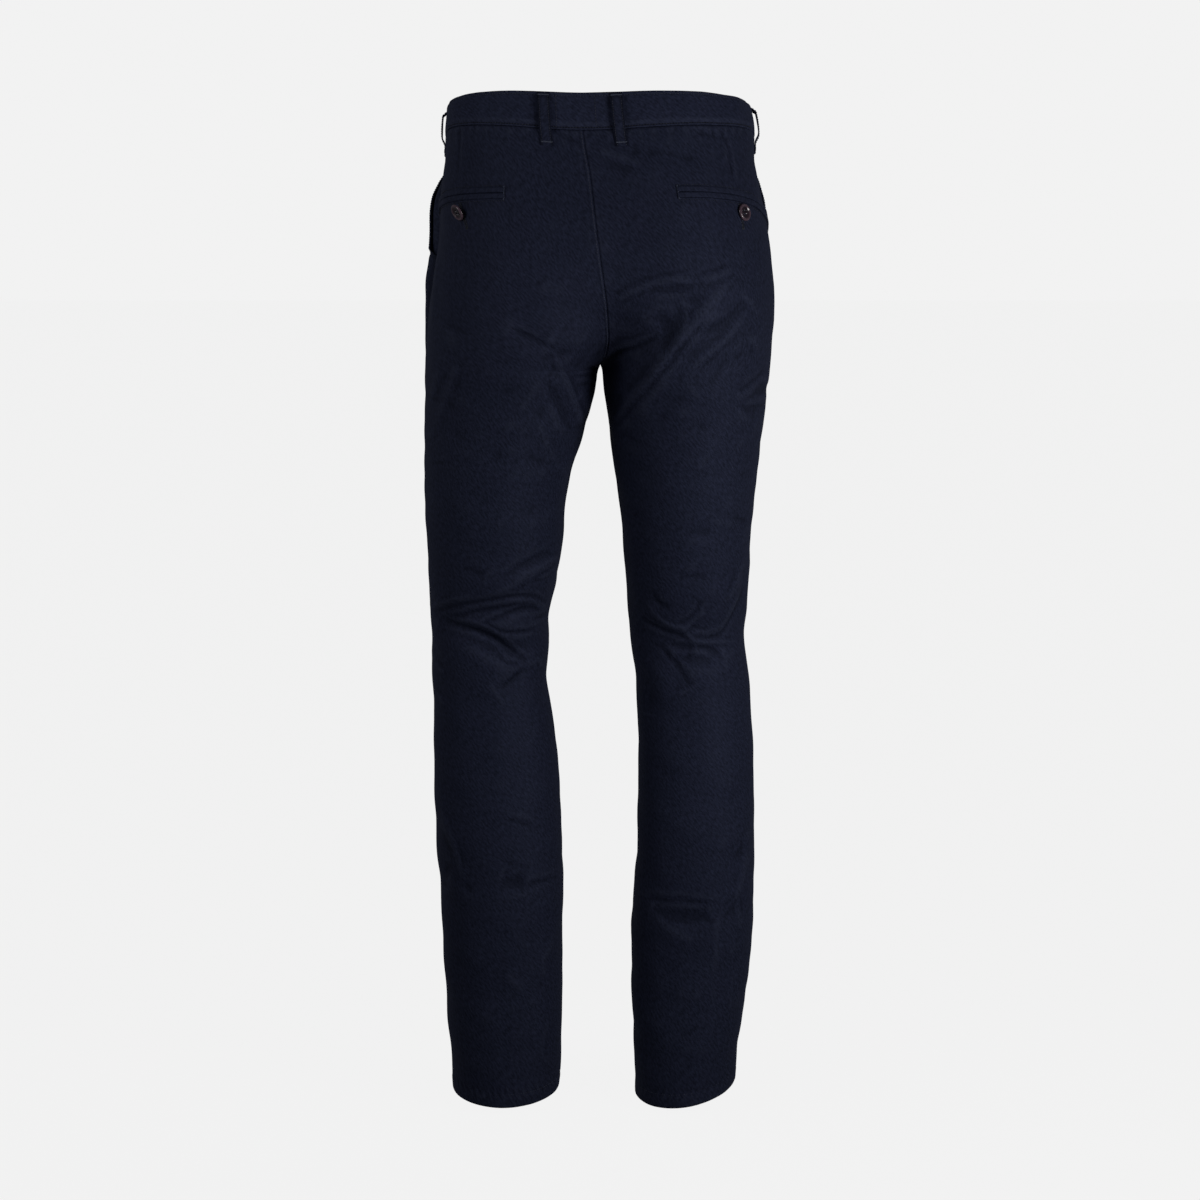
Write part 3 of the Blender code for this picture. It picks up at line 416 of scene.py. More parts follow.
def section(levels, leg, points=160):
    """The whole section of a leg at each level, from front to back, with each point's share of the length."""
    halves = []
    for face in (-1, 1):
        x, y = quarter(levels, leg, face, points)
        steps = np.hypot(np.diff(x), np.diff(y))
        run = np.hstack([np.zeros((len(x), 1)), np.cumsum(steps, axis=1)])
        halves.append((x, y, face * (1 - run / run[:, -1:]), run[:, -1]))
    (fx, fy, fturn, flength), (bx, by, bturn, blength) = halves
    x = np.hstack([fx, bx[:, -2::-1]])
    y = np.hstack([fy, by[:, -2::-1]])
    turn = np.hstack([fturn, bturn[:, -2::-1]])
    return x, y, turn, flength, blength


def half_length(leg, levels, face):
    """Length of cloth from the side seam to the centre seam or inseam, front (-1) or back (1)."""
    lengths = section(np.atleast_1d(np.asarray(levels, float)), leg)[3:]
    return lengths[1] if face > 0 else lengths[0]


def seam_takes(levels, face):
    """The length of cloth that a centre seam's arc takes away just above the crotch."""
    depth_name = "back" if face > 0 else "front"
    reach, seam = (read(SECTIONS, SECTION_COLUMNS, name, levels) for name in (depth_name, "seam"))
    share = rise_share(levels, face)
    return np.abs(reach - seam) * share * (1 - share**2)


def smooth_body(leg, levels, turns):
    """Points of the body without its folds, for one level a row and these turns along it."""
    x, y, turn, flength, blength = section(levels, leg)
    level = levels[:, None]
    back, front = seam_takes(level, 1) / blength[:, None], seam_takes(level, -1) / flength[:, None]
    taken = np.where(turns > 0, back, front)
    shares = turns * (1 + taken * (1 - turns**2))
    across = np.array([np.interp(shares[i], turn[i], x[i]) for i in range(len(levels))])
    deep = np.array([np.interp(shares[i], turn[i], y[i]) for i in range(len(levels))])
    tip, lift, lift_back, tip_leg = (
        read(TIPS, TIP_COLUMNS, name, level)
        for name in ("tip_back", "lift_side", "lift_back", "tip_" + LEG_NAMES[leg])
    )
    seam, back, front = (read(SECTIONS, SECTION_COLUMNS, n, level) for n in ("seam", "back", "front"))
    reach = np.where(deep > seam, back - seam, front - seam)
    side = read(SIDES, SIDE_COLUMNS, LEG_NAMES[leg] + "_side", level)
    share = np.clip((deep - seam) / reach, 0, 1)
    soon = np.abs(reach) * np.tanh(deep / TIP_REACH) / np.tanh(np.abs(reach) / TIP_REACH)
    up = level + tip * np.where((deep > 0) & (level > CROTCH), soon, deep)
    up = up + lift * (1 - share**2) + lift_back * np.sin(math.pi * np.clip(turns, 0, 1) ** LIFT_PEAK) ** 2
    up = up + tip_leg * (across - side * TIP_ABOUT)
    return np.stack([across, deep, up], axis=-1)


def normals(leg, levels, turns, step=0.01):
    """Outward unit normals of the smooth body, from its two slopes."""
    rise = smooth_body(leg, levels + 1, turns) - smooth_body(leg, levels - 1, turns)
    low, high = np.clip(turns - step, -1, 1), np.clip(turns + step, -1, 1)
    run = smooth_body(leg, levels, high) - smooth_body(leg, levels, low)
    out = leg * np.cross(run, rise)
    return out / np.linalg.norm(out, axis=-1, keepdims=True)


def from_line(points, ends):
    """Distance of points from a bent line in a plane, its sign on the left, and how far along it they are."""
    nearest = np.full(points.shape[:-1], np.inf)
    along = np.zeros(points.shape[:-1])
    hand = np.ones(points.shape[:-1])
    for i, (a, b) in enumerate(zip(ends[:-1], ends[1:])):
        way, off = b - a, points - a
        t = np.clip((off @ way) / (way @ way), 0, 1)
        distance = np.linalg.norm(off - t[..., None] * way, axis=-1)
        closer = distance < nearest
        nearest = np.where(closer, distance, nearest)
        along = np.where(closer, (i + t) / (len(ends) - 1), along)
        hand = np.where(closer, np.sign(way[0] * off[..., 1] - way[1] * off[..., 0]), hand)
    return nearest, along, hand


def curve_through(places, per_span=6):
    """A smooth curve through places: each span is a cubic whose end slopes are half of the chord across."""
    places = np.asarray(places, float)
    wide = np.vstack([2 * places[0] - places[1], places, 2 * places[-1] - places[-2]])
    t = np.linspace(0, 1, per_span, endpoint=False)[:, None]
    spans = [
        0.5 * (2 * b + (c - a) * t + (2 * a - 5 * b + 4 * c - d) * t**2 + (3 * b - a - 3 * c + d) * t**3)
        for a, b, c, d in zip(wide[:-3], wide[1:-2], wide[2:-1], wide[3:])
    ]
    return np.vstack(spans + [places[-1:]])


def fold_depth(points):
    """How far the folds sink the cloth at each point: soft troughs that fade out at both ends."""
    total = np.zeros(points.shape[:-1])
    t = np.linspace(0, 1, 9)[:, None]
    for row in FOLDS:
        fold = dict(zip(FOLD_COLUMNS, row))
        first, middle, last = (np.array([fold["x" + n], fold["z" + n]], float) for n in "123")
        pull = 2 * middle - (first + last) / 2
        curve = (1 - t) ** 2 * first + 2 * t * (1 - t) * pull + t**2 * last
        distance, along, _ = from_line(points[..., [0, 2]], curve)
        shape = np.exp(-((distance / fold["width"]) ** 2)) * (4 * along * (1 - along)) ** FOLD_ENDS
        facing = FOLD_LEFT_THERE + fold["face"] * (points[..., 1] - FOLD_MEETING) * FOLD_LOSS
        total += fold["depth"] * shape * np.clip(facing, 0, 1)
    return total


def crease_depth(points, creases, face):
    """How far finer creases sink the cloth: a narrow bell across each line, less a wider one beside it.

    Each fades at its ends by a power of 4a(1 - a), or as 1 - a^3 where it starts at a seam, and its depth
    wavers slowly along it. Like a fold, it loses depth round the side.
    """
    flat = points.reshape(-1, 3)
    total = np.zeros(len(flat))
    facing = np.clip(FOLD_LEFT_THERE + face * (flat[:, 1] - FOLD_MEETING) * FOLD_LOSS, 0, 1)
    for k, (width, depth, lip, at_seam, places) in enumerate(creases):
        curve = curve_through(places)
        low, high = curve.min(0) - 4 * width, curve.max(0) + 4 * width
        inside = (flat[:, [0, 2]] > low) & (flat[:, [0, 2]] < high)
        near = np.flatnonzero(inside.all(axis=1) & (facing > 0))
        if not len(near):
            continue
        distance, along, hand = from_line(flat[near][:, [0, 2]], curve)
        run, rise = curve[-1] - curve[0]
        up_side = hand * np.sign(run - 0.2 * rise)
        bell = np.exp(-((distance / width) ** 2))
        if lip:
            beside = distance * up_side * np.sign(lip) - 2 * width
            bell = bell - abs(lip) * np.exp(-((beside / (1.4 * width)) ** 2))
        ends = 1 - along**3 if at_seam else (4 * along * (1 - along)) ** 0.6
        waver = 1 + 0.25 * np.sin(2.3 * k + (5 + k % 4) * along)
        total[near] += depth * bell * ends * waver * facing[near]
    return total.reshape(points.shape[:-1])


def unevenness(points, count=10, size=0.13):
    """Slight waves all over the cloth: a sum of sines of mixed length and direction."""
    rng = np.random.default_rng(7)
    total = np.zeros(points.shape[:-1])
    for _ in range(count):
        heading, phase = rng.uniform(0, math.pi), rng.uniform(0, 2 * math.pi)
        wave = rng.uniform(16, 70)
        way = np.array([math.cos(heading), 0.6, math.sin(heading)]) * 2 * math.pi / wave
        total += size * (wave / 40) * np.sin(points @ way + phase)
    return total


def drape(points):
    """How far the cloth stands out at each point of the smooth body, with its folds and creases."""
    creases = crease_depth(points, BACK_CREASES, 1) + crease_depth(points, FRONT_CREASES, -1)
    return unevenness(points) - (fold_depth(points) + creases)


def step_down(distance, at, soft):
    """1 below a distance and 0 beyond it, as a soft step."""
    return 1 / (1 + np.exp(np.clip((distance - at) / soft, -30, 30)))


def seam_roll(distance, depth=0.9, reach=1.3):
    """The cloth's edge rolls down into a seam, as a bell of the distance from it."""
    return -depth * np.exp(-((distance / reach) ** 2))


ALLOWANCE = 11.0
HEM_STITCH = HEM + 13.0
PUCKER = 7.0
SEAM_STITCH = 2.2


def edge_details(levels, to_side, to_inner):
    """Rolls into the seams, pressed allowances that print through, puckers at the band and at the hem."""
    level = levels[:, None]
    out = seam_roll(to_side) + seam_roll(to_inner) + seam_roll(BAND_FOOT - level, 0.9, 1.3)
    out += 0.25 * step_down(to_side, ALLOWANCE, 0.9) + 0.25 * step_down(to_inner, ALLOWANCE, 0.9)
    under_band = np.exp(-(BAND_FOOT - level) / 9) * (1 - np.exp(-(BAND_FOOT - level) / 1.5))
    out += 0.35 * under_band * np.sin(to_side / 2.1 + 2 * np.sin(to_side / 17))
    near_hem = np.exp(-(((level - HEM_STITCH) / 5) ** 2))
    out += 0.30 * near_hem * np.sin((to_side + 0.5 * level) * 2 * math.pi / 8 + np.sin(to_side / 13))
    out += 0.20 * step_down(level, HEM_STITCH + 1.5, 0.7)
    out -= 0.45 * np.exp(-(((level - HEM_STITCH) / 1.0) ** 2))
    out += seam_roll(level - HEM, 0.5, 1.0)
    return out


def back_details(leg, levels, turns):
    """The raised, puckered allowance beside the centre back seam, with the details of any panel's edges."""
    length = half_length(leg, levels, 1)[:, None]
    to_side, to_inner = turns * length, (1 - turns) * length
    level = levels[:, None]
    out = edge_details(levels, to_side, to_inner)
    above = step_down(CROTCH + 14 - level, 0, 3)
    pull = 0.4 + 0.6 * np.exp(-(((level + 232) / 45) ** 2))
    slant = np.sin((level + 0.7 * to_inner) * 2 * math.pi / PUCKER + 0.8 * np.sin(level / 11))
    if leg == LEFT:
        ridge, groove = step_down(to_inner, 3.5, 0.35), np.exp(-(((to_inner - 4.2) / 0.5) ** 2))
        out += above * (0.45 * ridge - 0.3 * groove)
        out += above * 0.20 * pull * slant * step_down(to_inner, 8, 1.6) * (1 - np.exp(-to_inner / 1.2))
    else:
        out += above * 0.12 * pull * slant * np.exp(-to_inner / 5)
    return out


def box_mean(values, reach=2):
    """The mean of each value and its neighbours within a reach of grid points."""
    padded = np.pad(values, reach, mode="edge")
    rows, columns = values.shape
    span = range(2 * reach + 1)
    return sum(padded[i : i + rows, j : j + columns] for i in span for j in span) / len(span) ** 2


def grid_faces(number, turned=False):
    """Quads between the neighbours of a grid of point numbers."""
    quads = np.stack([number[:-1, :-1], number[1:, :-1], number[1:, 1:], number[:-1, 1:]], axis=-1)
    quads = quads.reshape(-1, 4)
    return quads[:, ::-1] if turned else quads


def add_mesh(name, points, faces, finish, uv=None, wear_and_shade=None, sharp=50):
    """An object from points in millimetres and arrays of faces, turned so that its volume is positive.

    uv is one pair for each point, in millimetres along the cloth. wear_and_shade is 1 where the cloth stands
    proud of what is round it, which its material paints as rubbed, and -1 where it lies deep, which its
    material paints as shade.
    """
    points = np.asarray(points, float).reshape(-1, 3) * MM
    volume = 0.0
    for quads in faces:
        a, b, c = points[quads[:, 0]], points[quads[:, 1]], points[quads[:, 2]]
        volume += np.einsum("ij,ij->", a, np.cross(b, c))
        if quads.shape[1] == 4:
            volume += np.einsum("ij,ij->", a, np.cross(c, points[quads[:, 3]]))
    if volume < 0:
        faces = [quads[:, ::-1] for quads in faces]
    corners = np.concatenate([quads.ravel() for quads in faces]).astype(np.int32)
    sizes = np.concatenate([np.full(len(quads), quads.shape[1]) for quads in faces])
    mesh = bpy.data.meshes.new(name)
    mesh.vertices.add(len(points))
    mesh.vertices.foreach_set("co", points.astype(np.float32).ravel())
    mesh.loops.add(len(corners))
    mesh.loops.foreach_set("vertex_index", corners)
    mesh.polygons.add(len(sizes))
    mesh.polygons.foreach_set("loop_start", np.r_[0, np.cumsum(sizes)[:-1]].astype(np.int32))
    mesh.update(calc_edges=True)
    if uv is not None:
        pairs = np.asarray(uv, float).reshape(-1, 2)[corners]
        mesh.uv_layers.new(name="cloth").data.foreach_set("uv", pairs.astype(np.float32).ravel())
    if wear_and_shade is not None:
        kept = mesh.attributes.new("wear_and_shade", "FLOAT", "POINT")
        kept.data.foreach_set("value", np.asarray(wear_and_shade, np.float32).ravel())
    mesh.materials.append(finish)
    mesh.shade_smooth()
    mesh.set_sharp_from_angle(angle=math.radians(sharp))
    made = bpy.data.objects.new(name, mesh)
    bpy.context.scene.collection.objects.link(made)
    return made


def shell(name, outer, inner, finish, uv, wear_and_shade, closed=False):
    """A closed wall between two matching grids of points. A closed one joins its last column to its first."""
    rows, columns = outer.shape[:2]
    number = np.arange(rows * columns).reshape(rows, columns)
    if closed:
        number = np.hstack([number, number[:, :1]])
    inside = number + rows * columns
    faces = [grid_faces(number), grid_faces(inside, True)]
    edges = [(number[0, ::-1], inside[0, ::-1]), (number[-1], inside[-1])]
    if not closed:
        edges += [(number[:, 0], inside[:, 0]), (number[::-1, -1], inside[::-1, -1])]
    for near, far in edges:
        faces.append(np.stack([near[:-1], far[:-1], far[1:], near[1:]], axis=-1))
    points = np.concatenate([outer.reshape(-1, 3), inner.reshape(-1, 3)])
    both_uv = np.concatenate([uv.reshape(-1, 2)] * 2)
    return add_mesh(name, points, faces, finish, both_uv, np.r_[wear_and_shade.ravel(), np.zeros(rows * columns)])


def put(tree, kind, inputs=(), **settings):
    """A node with its settings and inputs: each input is a value, or the output of another node."""
    made = tree.nodes.new(kind)
    for name, value in settings.items():
        setattr(made, name, value)
    for name, value in dict(inputs).items():
        if isinstance(value, bpy.types.NodeSocket):
            tree.links.new(value, made.inputs[name])
        else:
            made.inputs[name].default_value = value
    return made


def group(name, inputs, outputs):
    """A shader node group with named inputs and outputs, and its two end nodes."""
    tree = bpy.data.node_groups.new(name, "ShaderNodeTree")
    for way, sockets in (("INPUT", inputs), ("OUTPUT", outputs)):
        for socket, kind in sockets:
            tree.interface.new_socket(socket, in_out=way, socket_type="NodeSocket" + kind)
    return tree, tree.nodes.new("NodeGroupInput"), tree.nodes.new("NodeGroupOutput")


def make_weave():
    """Twill: ribs that fall to the right at a steep angle, broken into short floats by the yarns across."""
    tree, given, result = group("weave", [("Vector", "Vector"), ("Pitch", "Float")], [("Height", "Float")])
    uv = put(tree, "ShaderNodeSeparateXYZ", {0: given.outputs["Vector"]})

    def math_node(operation, *values):
        return put(tree, "ShaderNodeMath", dict(enumerate(values)), operation=operation).outputs[0]

    slanted = math_node("MULTIPLY_ADD", uv.outputs[1], 0.8, uv.outputs[0])
    turns = math_node("DIVIDE", slanted, given.outputs["Pitch"])
    rib = math_node("SINE", math_node("MULTIPLY", turns, 2 * math.pi))
    across = math_node("DIVIDE", uv.outputs[1], given.outputs["Pitch"])
    float_wave = math_node("SINE", math_node("MULTIPLY", across, 2 * math.pi))
    both = math_node("MULTIPLY_ADD", float_wave, 0.3, math_node("MULTIPLY", rib, 0.7))
    tree.links.new(math_node("MULTIPLY_ADD", both, 0.5, 0.5), result.inputs["Height"])
    return tree


# Rubbed is wear on the cloth where it stands proud. Shaded is painted shade: the cloth is darkened where it
# lies deep, in creases, grooves and seams.
MASK_COLUMNS = ("name", "from", "to", "least")
MASKS = (
    ("Rubbed", 0.15, 0.95, 0.0),
    ("Shaded", -0.3, -1.2, 0.5),
)


def make_wear_and_shade_masks():
    """Rubbed and Shaded masks: wear where the cloth stands proud, and painted shade where it lies deep,
    both broken up by soft noise.
    """
    inputs = [("Wear_and_shade", "Float"), ("Vector", "Vector")]
    tree, given, result = group("cloth_wear_and_painted_shade", inputs, [("Rubbed", "Float"), ("Shaded", "Float")])
    fine = {"Vector": given.outputs["Vector"], "Scale": 320.0, "Detail": 3.0}
    noise = put(tree, "ShaderNodeTexNoise", fine)
    for row in MASKS:
        mask = dict(zip(MASK_COLUMNS, row))
        wear_and_shade = {"Value": given.outputs["Wear_and_shade"], "From Min": mask["from"], "From Max": mask["to"]}
        raised = put(tree, "ShaderNodeMapRange", wear_and_shade, interpolation_type="SMOOTHSTEP")
        spread = {"Value": noise.outputs[0], "From Min": 0.25, "From Max": 0.65, "To Min": mask["least"]}
        broken = put(tree, "ShaderNodeMapRange", spread)
        both = put(tree, "ShaderNodeMath", {0: raised.outputs[0], 1: broken.outputs[0]}, operation="MULTIPLY")
        tree.links.new(both.outputs[0], result.inputs[mask["name"]])
    return tree


def make_lint():
    """A sparse mask of short pale fibres lying on the cloth."""
    tree, given, result = group("lint", [("Vector", "Vector")], [("Mask", "Float")])
    warp = put(tree, "ShaderNodeTexNoise", {"Vector": given.outputs["Vector"], "Scale": 90.0})
    bent = {0: warp.outputs["Color"], 1: (0.004, 0.004, 0.004), 2: given.outputs["Vector"]}
    moved = put(tree, "ShaderNodeVectorMath", bent, operation="MULTIPLY_ADD")
    cells = put(tree, "ShaderNodeTexVoronoi", {"Vector": moved.outputs[0], "Scale": 80.0}, feature="F1")
    dot = put(tree, "ShaderNodeMath", {0: cells.outputs["Distance"], 1: 0.030}, operation="LESS_THAN")
    tree.links.new(dot.outputs[0], result.inputs["Mask"])
    return tree


WEAVE, WEAR_AND_SHADE_MASKS, LINT = make_weave(), make_wear_and_shade_masks(), make_lint()
TWILL_PITCH = 1.1
TWILL_DEEP = (0.0078, 0.0092, 0.0188, 1)
TWILL_LIT = (0.0106, 0.0124, 0.0246, 1)
TWILL_RUBBED = (0.0250, 0.0290, 0.0480, 1)
LINT_PALE = (0.09, 0.10, 0.13, 1)
SLUB_LONG, SLUB_WIDE, SLUB_TURN = 5.5, 1.9, -52.0


def grouped(tree, made, inputs):
    """A placed node group."""
    return put(tree, "ShaderNodeGroup", inputs, node_tree=made)


def blend_colour(tree, share, first, second, kind="MIX"):
    """Two colours mixed by a share."""
    colours = {0: share, 6: first, 7: second}
    return put(tree, "ShaderNodeMix", colours, data_type="RGBA", blend_type=kind).outputs[2]


def scaled(tree, value, factor):
    """A value times a number."""
    return put(tree, "ShaderNodeMath", {0: value, 1: factor}, operation="MULTIPLY").outputs[0]


def new_material(name):
    """An empty material with its node tree and its Principled BSDF."""
    made = bpy.data.materials.new(name)
    made.use_nodes = True
    return made, made.node_tree, made.node_tree.nodes["Principled BSDF"]


def set_inputs(shader, **values):
    """Plain values on the shader's own sockets, each named with its spaces as underscores."""
    for name, value in values.items():
        shader.inputs[name.replace("_", " ")].default_value = value


def twill(name, lift=1.0):
    """Dyed cotton twill: mottled navy, paler where it is rubbed, with painted shade darkening its creases,
    grooves and seams, and a soft sheen.
    """
    made, tree, shader = new_material(name)
    place = put(tree, "ShaderNodeTexCoord").outputs["Object"]
    cloth = put(tree, "ShaderNodeUVMap", uv_map="cloth").outputs[0]
    wear_and_shade = put(tree, "ShaderNodeAttribute", attribute_name="wear_and_shade").outputs["Fac"]
    masks = grouped(tree, WEAR_AND_SHADE_MASKS, {"Wear_and_shade": wear_and_shade, "Vector": place})
    weave = grouped(tree, WEAVE, {"Vector": cloth, "Pitch": TWILL_PITCH})
    large = put(tree, "ShaderNodeTexNoise", {"Vector": place, "Scale": 14.0, "Detail": 4.0})
    slubs = put(
        tree,
        "ShaderNodeMapping",
        {"Vector": cloth, "Rotation": (0, 0, math.radians(SLUB_TURN)), "Scale": (SLUB_LONG, SLUB_WIDE, 1)},
        vector_type="TEXTURE",
    )
    slub = {"Vector": slubs.outputs[0], "Scale": 1.0, "Detail": 3.0, "Roughness": 0.7}
    small = put(tree, "ShaderNodeTexNoise", slub)
    deep, lit, rubbed = (
        tuple(c * lift for c in colour[:3]) + (1,) for colour in (TWILL_DEEP, TWILL_LIT, TWILL_RUBBED)
    )
    colour = blend_colour(tree, large.outputs[0], deep, lit)
    grain = put(
        tree,
        "ShaderNodeMapRange",
        {"Value": small.outputs[0], "From Min": 0.36, "From Max": 0.64, "To Min": 0.5, "To Max": 1.5},
    )
    colour = blend_colour(tree, 1.0, colour, grain.outputs[0], "MULTIPLY")
    colour = blend_colour(tree, scaled(tree, masks.outputs["Rubbed"], 0.35), colour, rubbed)
    # Painted shade: creases, grooves and seams are darkened towards a near-black copy of the deep navy.
    painted_fold_shade = tuple(c * 0.12 for c in deep[:3]) + (1,)
    colour = blend_colour(tree, scaled(tree, masks.outputs["Shaded"], 0.9), colour, painted_fold_shade)
    lint = grouped(tree, LINT, {"Vector": place})
    colour = blend_colour(tree, scaled(tree, lint.outputs["Mask"], 0.20), colour, LINT_PALE)
    tree.links.new(colour, shader.inputs["Base Color"])
    relief = {"Height": weave.outputs["Height"], "Strength": 0.25, "Distance": 0.00012}
    ribs = put(tree, "ShaderNodeBump", relief)
    nap = put(
        tree,
        "ShaderNodeBump",
        {"Height": small.outputs[0], "Strength": 0.35, "Distance": 0.0004, "Normal": ribs.outputs[0]},
    )
    tree.links.new(nap.outputs[0], shader.inputs["Normal"])
    set_inputs(shader, Roughness=0.72, Specular_IOR_Level=0.16, Specular_Tint=(0.52, 0.60, 1.0, 1))
    set_inputs(shader, Sheen_Weight=0.05, Sheen_Roughness=0.40, Sheen_Tint=(0.42, 0.50, 1.0, 1))
    return made


NAVY_TWILL = twill("navy_twill")
# The band's twill is the navy twill made 1.2 times lighter: painted light, for the brighter light on the
# band.
BAND_TWILL_PAINTED_LIGHT = twill("band_twill_painted_light", 1.2)


def panel_levels():
    """Levels of a panel's rows: closest at its two ends, near the crotch and behind the knee."""
    near = np.arange(1, 13) ** 2 * 0.1
    top = BAND_FOOT - SEAM_GAP
    return np.r_[
        top,
        top - 0.4,
        top - 1.3,
        np.linspace(top - 2.9, CROTCH + near[-1], 92)[:-1],
        CROTCH + near[::-1],
        CROTCH,
        CROTCH - near,
        np.linspace(CROTCH - near[-1], KNEE_TOP, 76)[1:-1],
        np.linspace(KNEE_TOP, KNEE_FOOT, 96),
        np.linspace(KNEE_FOOT, HEM + 2.9, 146)[1:],
        HEM + 1.3,
        HEM + 0.4,
        HEM,
    ]


def across_shares(columns):
    """Shares from a panel's side edge to its inner one, with fine steps at both and most at the inner one."""
    side = np.array([0.0025, 0.008, 0.018])
    inner = 1 - np.array([0.034, 0.025, 0.019, 0.0145, 0.010, 0.006, 0.0025])
    return np.r_[0, side, np.linspace(side[-1], inner[0], columns - 10)[1:-1], inner, 1]


def part_seams(points, leg, face):
    """Draws a panel back from its neighbours by half of the seam's gap."""
    return points + np.array([leg, face, 0]) * SEAM_GAP / 2


def cloth_uv(leg, levels, turns, face):
    """Millimetres along the cloth, from the grain line down the middle of the panel, and the level."""
    across = (np.abs(turns) - 0.5) * half_length(leg, levels, face)[:, None] * leg * face
    return np.stack([across, levels[:, None] + 0 * turns], axis=-1)


def wear_and_shade_of(out, deepest=-0.75):
    """Wear and painted shade of a grid: how far each point stands out beyond the mean round it. Where it
    stands out, its material paints it rubbed; where it lies deep, in creases, grooves and seams, it paints
    shade.
    """
    return np.clip((out - box_mean(out)) / 0.22, deepest, 1)


def flat_area(leg, levels, turns, face):
    """Area in square metres of a panel as cut, from its width at each level."""
    widths = (np.abs(turns[:, -1] - turns[:, 0])) * half_length(leg, levels, face)
    return float(np.sum((widths[1:] + widths[:-1]) / 2 * -np.diff(levels))) * MM**2


def declare(piece, leg, levels, turns, face, nodes):
    widest = float(np.max(np.abs(turns[:, -1] - turns[:, 0]) * half_length(leg, levels, face))) * MM
    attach(piece, "root")
    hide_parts(*nodes)
    round(flat_area(leg, levels, turns, face), 3)


BACK_COLUMNS = 108
for leg in (LEFT, RIGHT):
    levels = panel_levels()
    turns = np.tile(across_shares(BACK_COLUMNS), (len(levels), 1))
    base, normal = smooth_body(leg, levels, turns), normals(leg, levels, turns)
    hang = drape(base)
    out = hang + back_details(leg, levels, turns)
    name = LEG_NAMES[leg]
    # Its wear_and_shade paints shade into the back's creases and seams, and rubbing on its ridges.
    back = shell(
        f"back_panel_{name}",
        part_seams(base + out[..., None] * normal, leg, 1),
        part_seams(base + (hang - WALL)[..., None] * normal, leg, 1),
        NAVY_TWILL,
        cloth_uv(leg, levels, turns, 1),
        wear_and_shade_of(out),
    )
    declare(back, leg, levels, turns, 1, [f"back_{name}"])

# ---------------------------------------------------------------------------------------------------------
# Fronts
# Each front is cut like a back, but its top corner is cut away on a slant for the pocket's mouth, whose
# turned edge is stitched twice and stands off the hip where the pocket has been used.
# ---------------------------------------------------------------------------------------------------------

MOUTH_WIDTH = 40.0
MOUTH_FOOT = -150.0
GAPE_COLUMNS = ("level", "left", "right")
GAPES = (
    (-36, 0.0, 0.0),
    (-60, 0.4, 2.0),
    (-80, 7.5, 5.5),
    (-95, 11.5, 6.0),
    (-110, 12.5, 4.5),
    (-132, 11.3, 1.8),
    (-150, 10.4, 0.5),
    (-175, 10.0, 0.0),
    (-205, 6.0, 0.0),
    (-235, 3.8, 0.0),
    (-270, 1.5, 0.0),
    (-300, 0.0, 0.0),
    (-1060, 0.0, 0.0),
)
GAPE_REACH = 34.0
GAPE_LINED = 0.82
GAPE_HELD = 8.0
GAPE_GRIP = 11.0
MOUTH_TURNING = 7.0


def mouth_edge(leg, levels):
    """How far forward of the side seam the slant pocket's edge runs, as a turn."""
    share = np.clip((levels - MOUTH_FOOT) / (BAND_FOOT - MOUTH_FOOT), 0, 1)
    return -MOUTH_WIDTH * share / half_length(leg, levels, -1)


def gape(leg, levels, turns):
    """How far the front stands out at the slant pocket and just below it, where its edge is held down."""
    stand = read(GAPES, GAPE_COLUMNS, LEG_NAMES[leg], levels)[:, None]
    away = (mouth_edge(leg, levels)[:, None] - turns) * half_length(leg, levels, -1)[:, None]
    held = np.clip((MOUTH_FOOT - levels) / GAPE_HELD, 0, 1)[:, None]
    grip = 1 - held * (1 - np.clip(away / GAPE_GRIP, 0, 1))
    beyond = np.clip(away - GAPE_GRIP * held, 0, GAPE_REACH)
    return stand * grip * (1 - (beyond / GAPE_REACH) ** 2) ** 2


def front_details(leg, levels, turns):
    """The pocket mouth's thicker turned edge and the fly's edge, with the details of any panel's edges."""
    length = half_length(leg, levels, -1)[:, None]
    edge = mouth_edge(leg, levels)[:, None]
    to_edge, to_inner = (edge - turns) * length, (1 + turns) * length
    level = levels[:, None]
    out = edge_details(levels, to_edge, to_inner)
    at_mouth = step_down(MOUTH_FOOT - level, 0, 1.5)
    turned, pressed = step_down(to_edge, MOUTH_TURNING, 0.6), step_down(to_edge, ALLOWANCE, 0.9)
    out += at_mouth * (0.3 * turned - 0.25 * pressed)
    if leg == LEFT:
        out += 0.3 * step_down(to_inner, FLY_STITCH, 0.8) * step_down(FLY_FOOT - level, 0, 3)
    return out


FLY_STITCH = 34.0
FLY_FOOT = -196.0
FRONT_COLUMNS = 80
for leg in (LEFT, RIGHT):
    levels = panel_levels()
    edge = mouth_edge(leg, levels)[:, None]
    turns = edge + (-1 - edge) * across_shares(FRONT_COLUMNS)[None, :]
    base, normal = smooth_body(leg, levels, turns), normals(leg, levels, turns)
    hang = drape(base) + gape(leg, levels, turns)
    out = hang + front_details(leg, levels, turns)
    name = LEG_NAMES[leg]
    # Its wear_and_shade paints shade into the front's creases and seams, and rubbing on its ridges.
    front = shell(
        f"front_panel_{name}",
        part_seams(base + out[..., None] * normal, leg, -1),
        part_seams(base + (hang - WALL)[..., None] * normal, leg, -1),
        NAVY_TWILL,
        cloth_uv(leg, levels, turns, -1),
        wear_and_shade_of(out),
    )
    declare(front, leg, levels, turns, -1, [f"front_{name}"])

# ---------------------------------------------------------------------------------------------------------
# Slant pocket facings, turned hems and seam allowances
# A facing of the same twill shows in the mouth of each front pocket, sewn to the pocket bag behind it. The
# hem allowance is turned up inside each leg and caught by one row of stitches. The centre and side seams are
# pressed open over their allowances.
# ---------------------------------------------------------------------------------------------------------

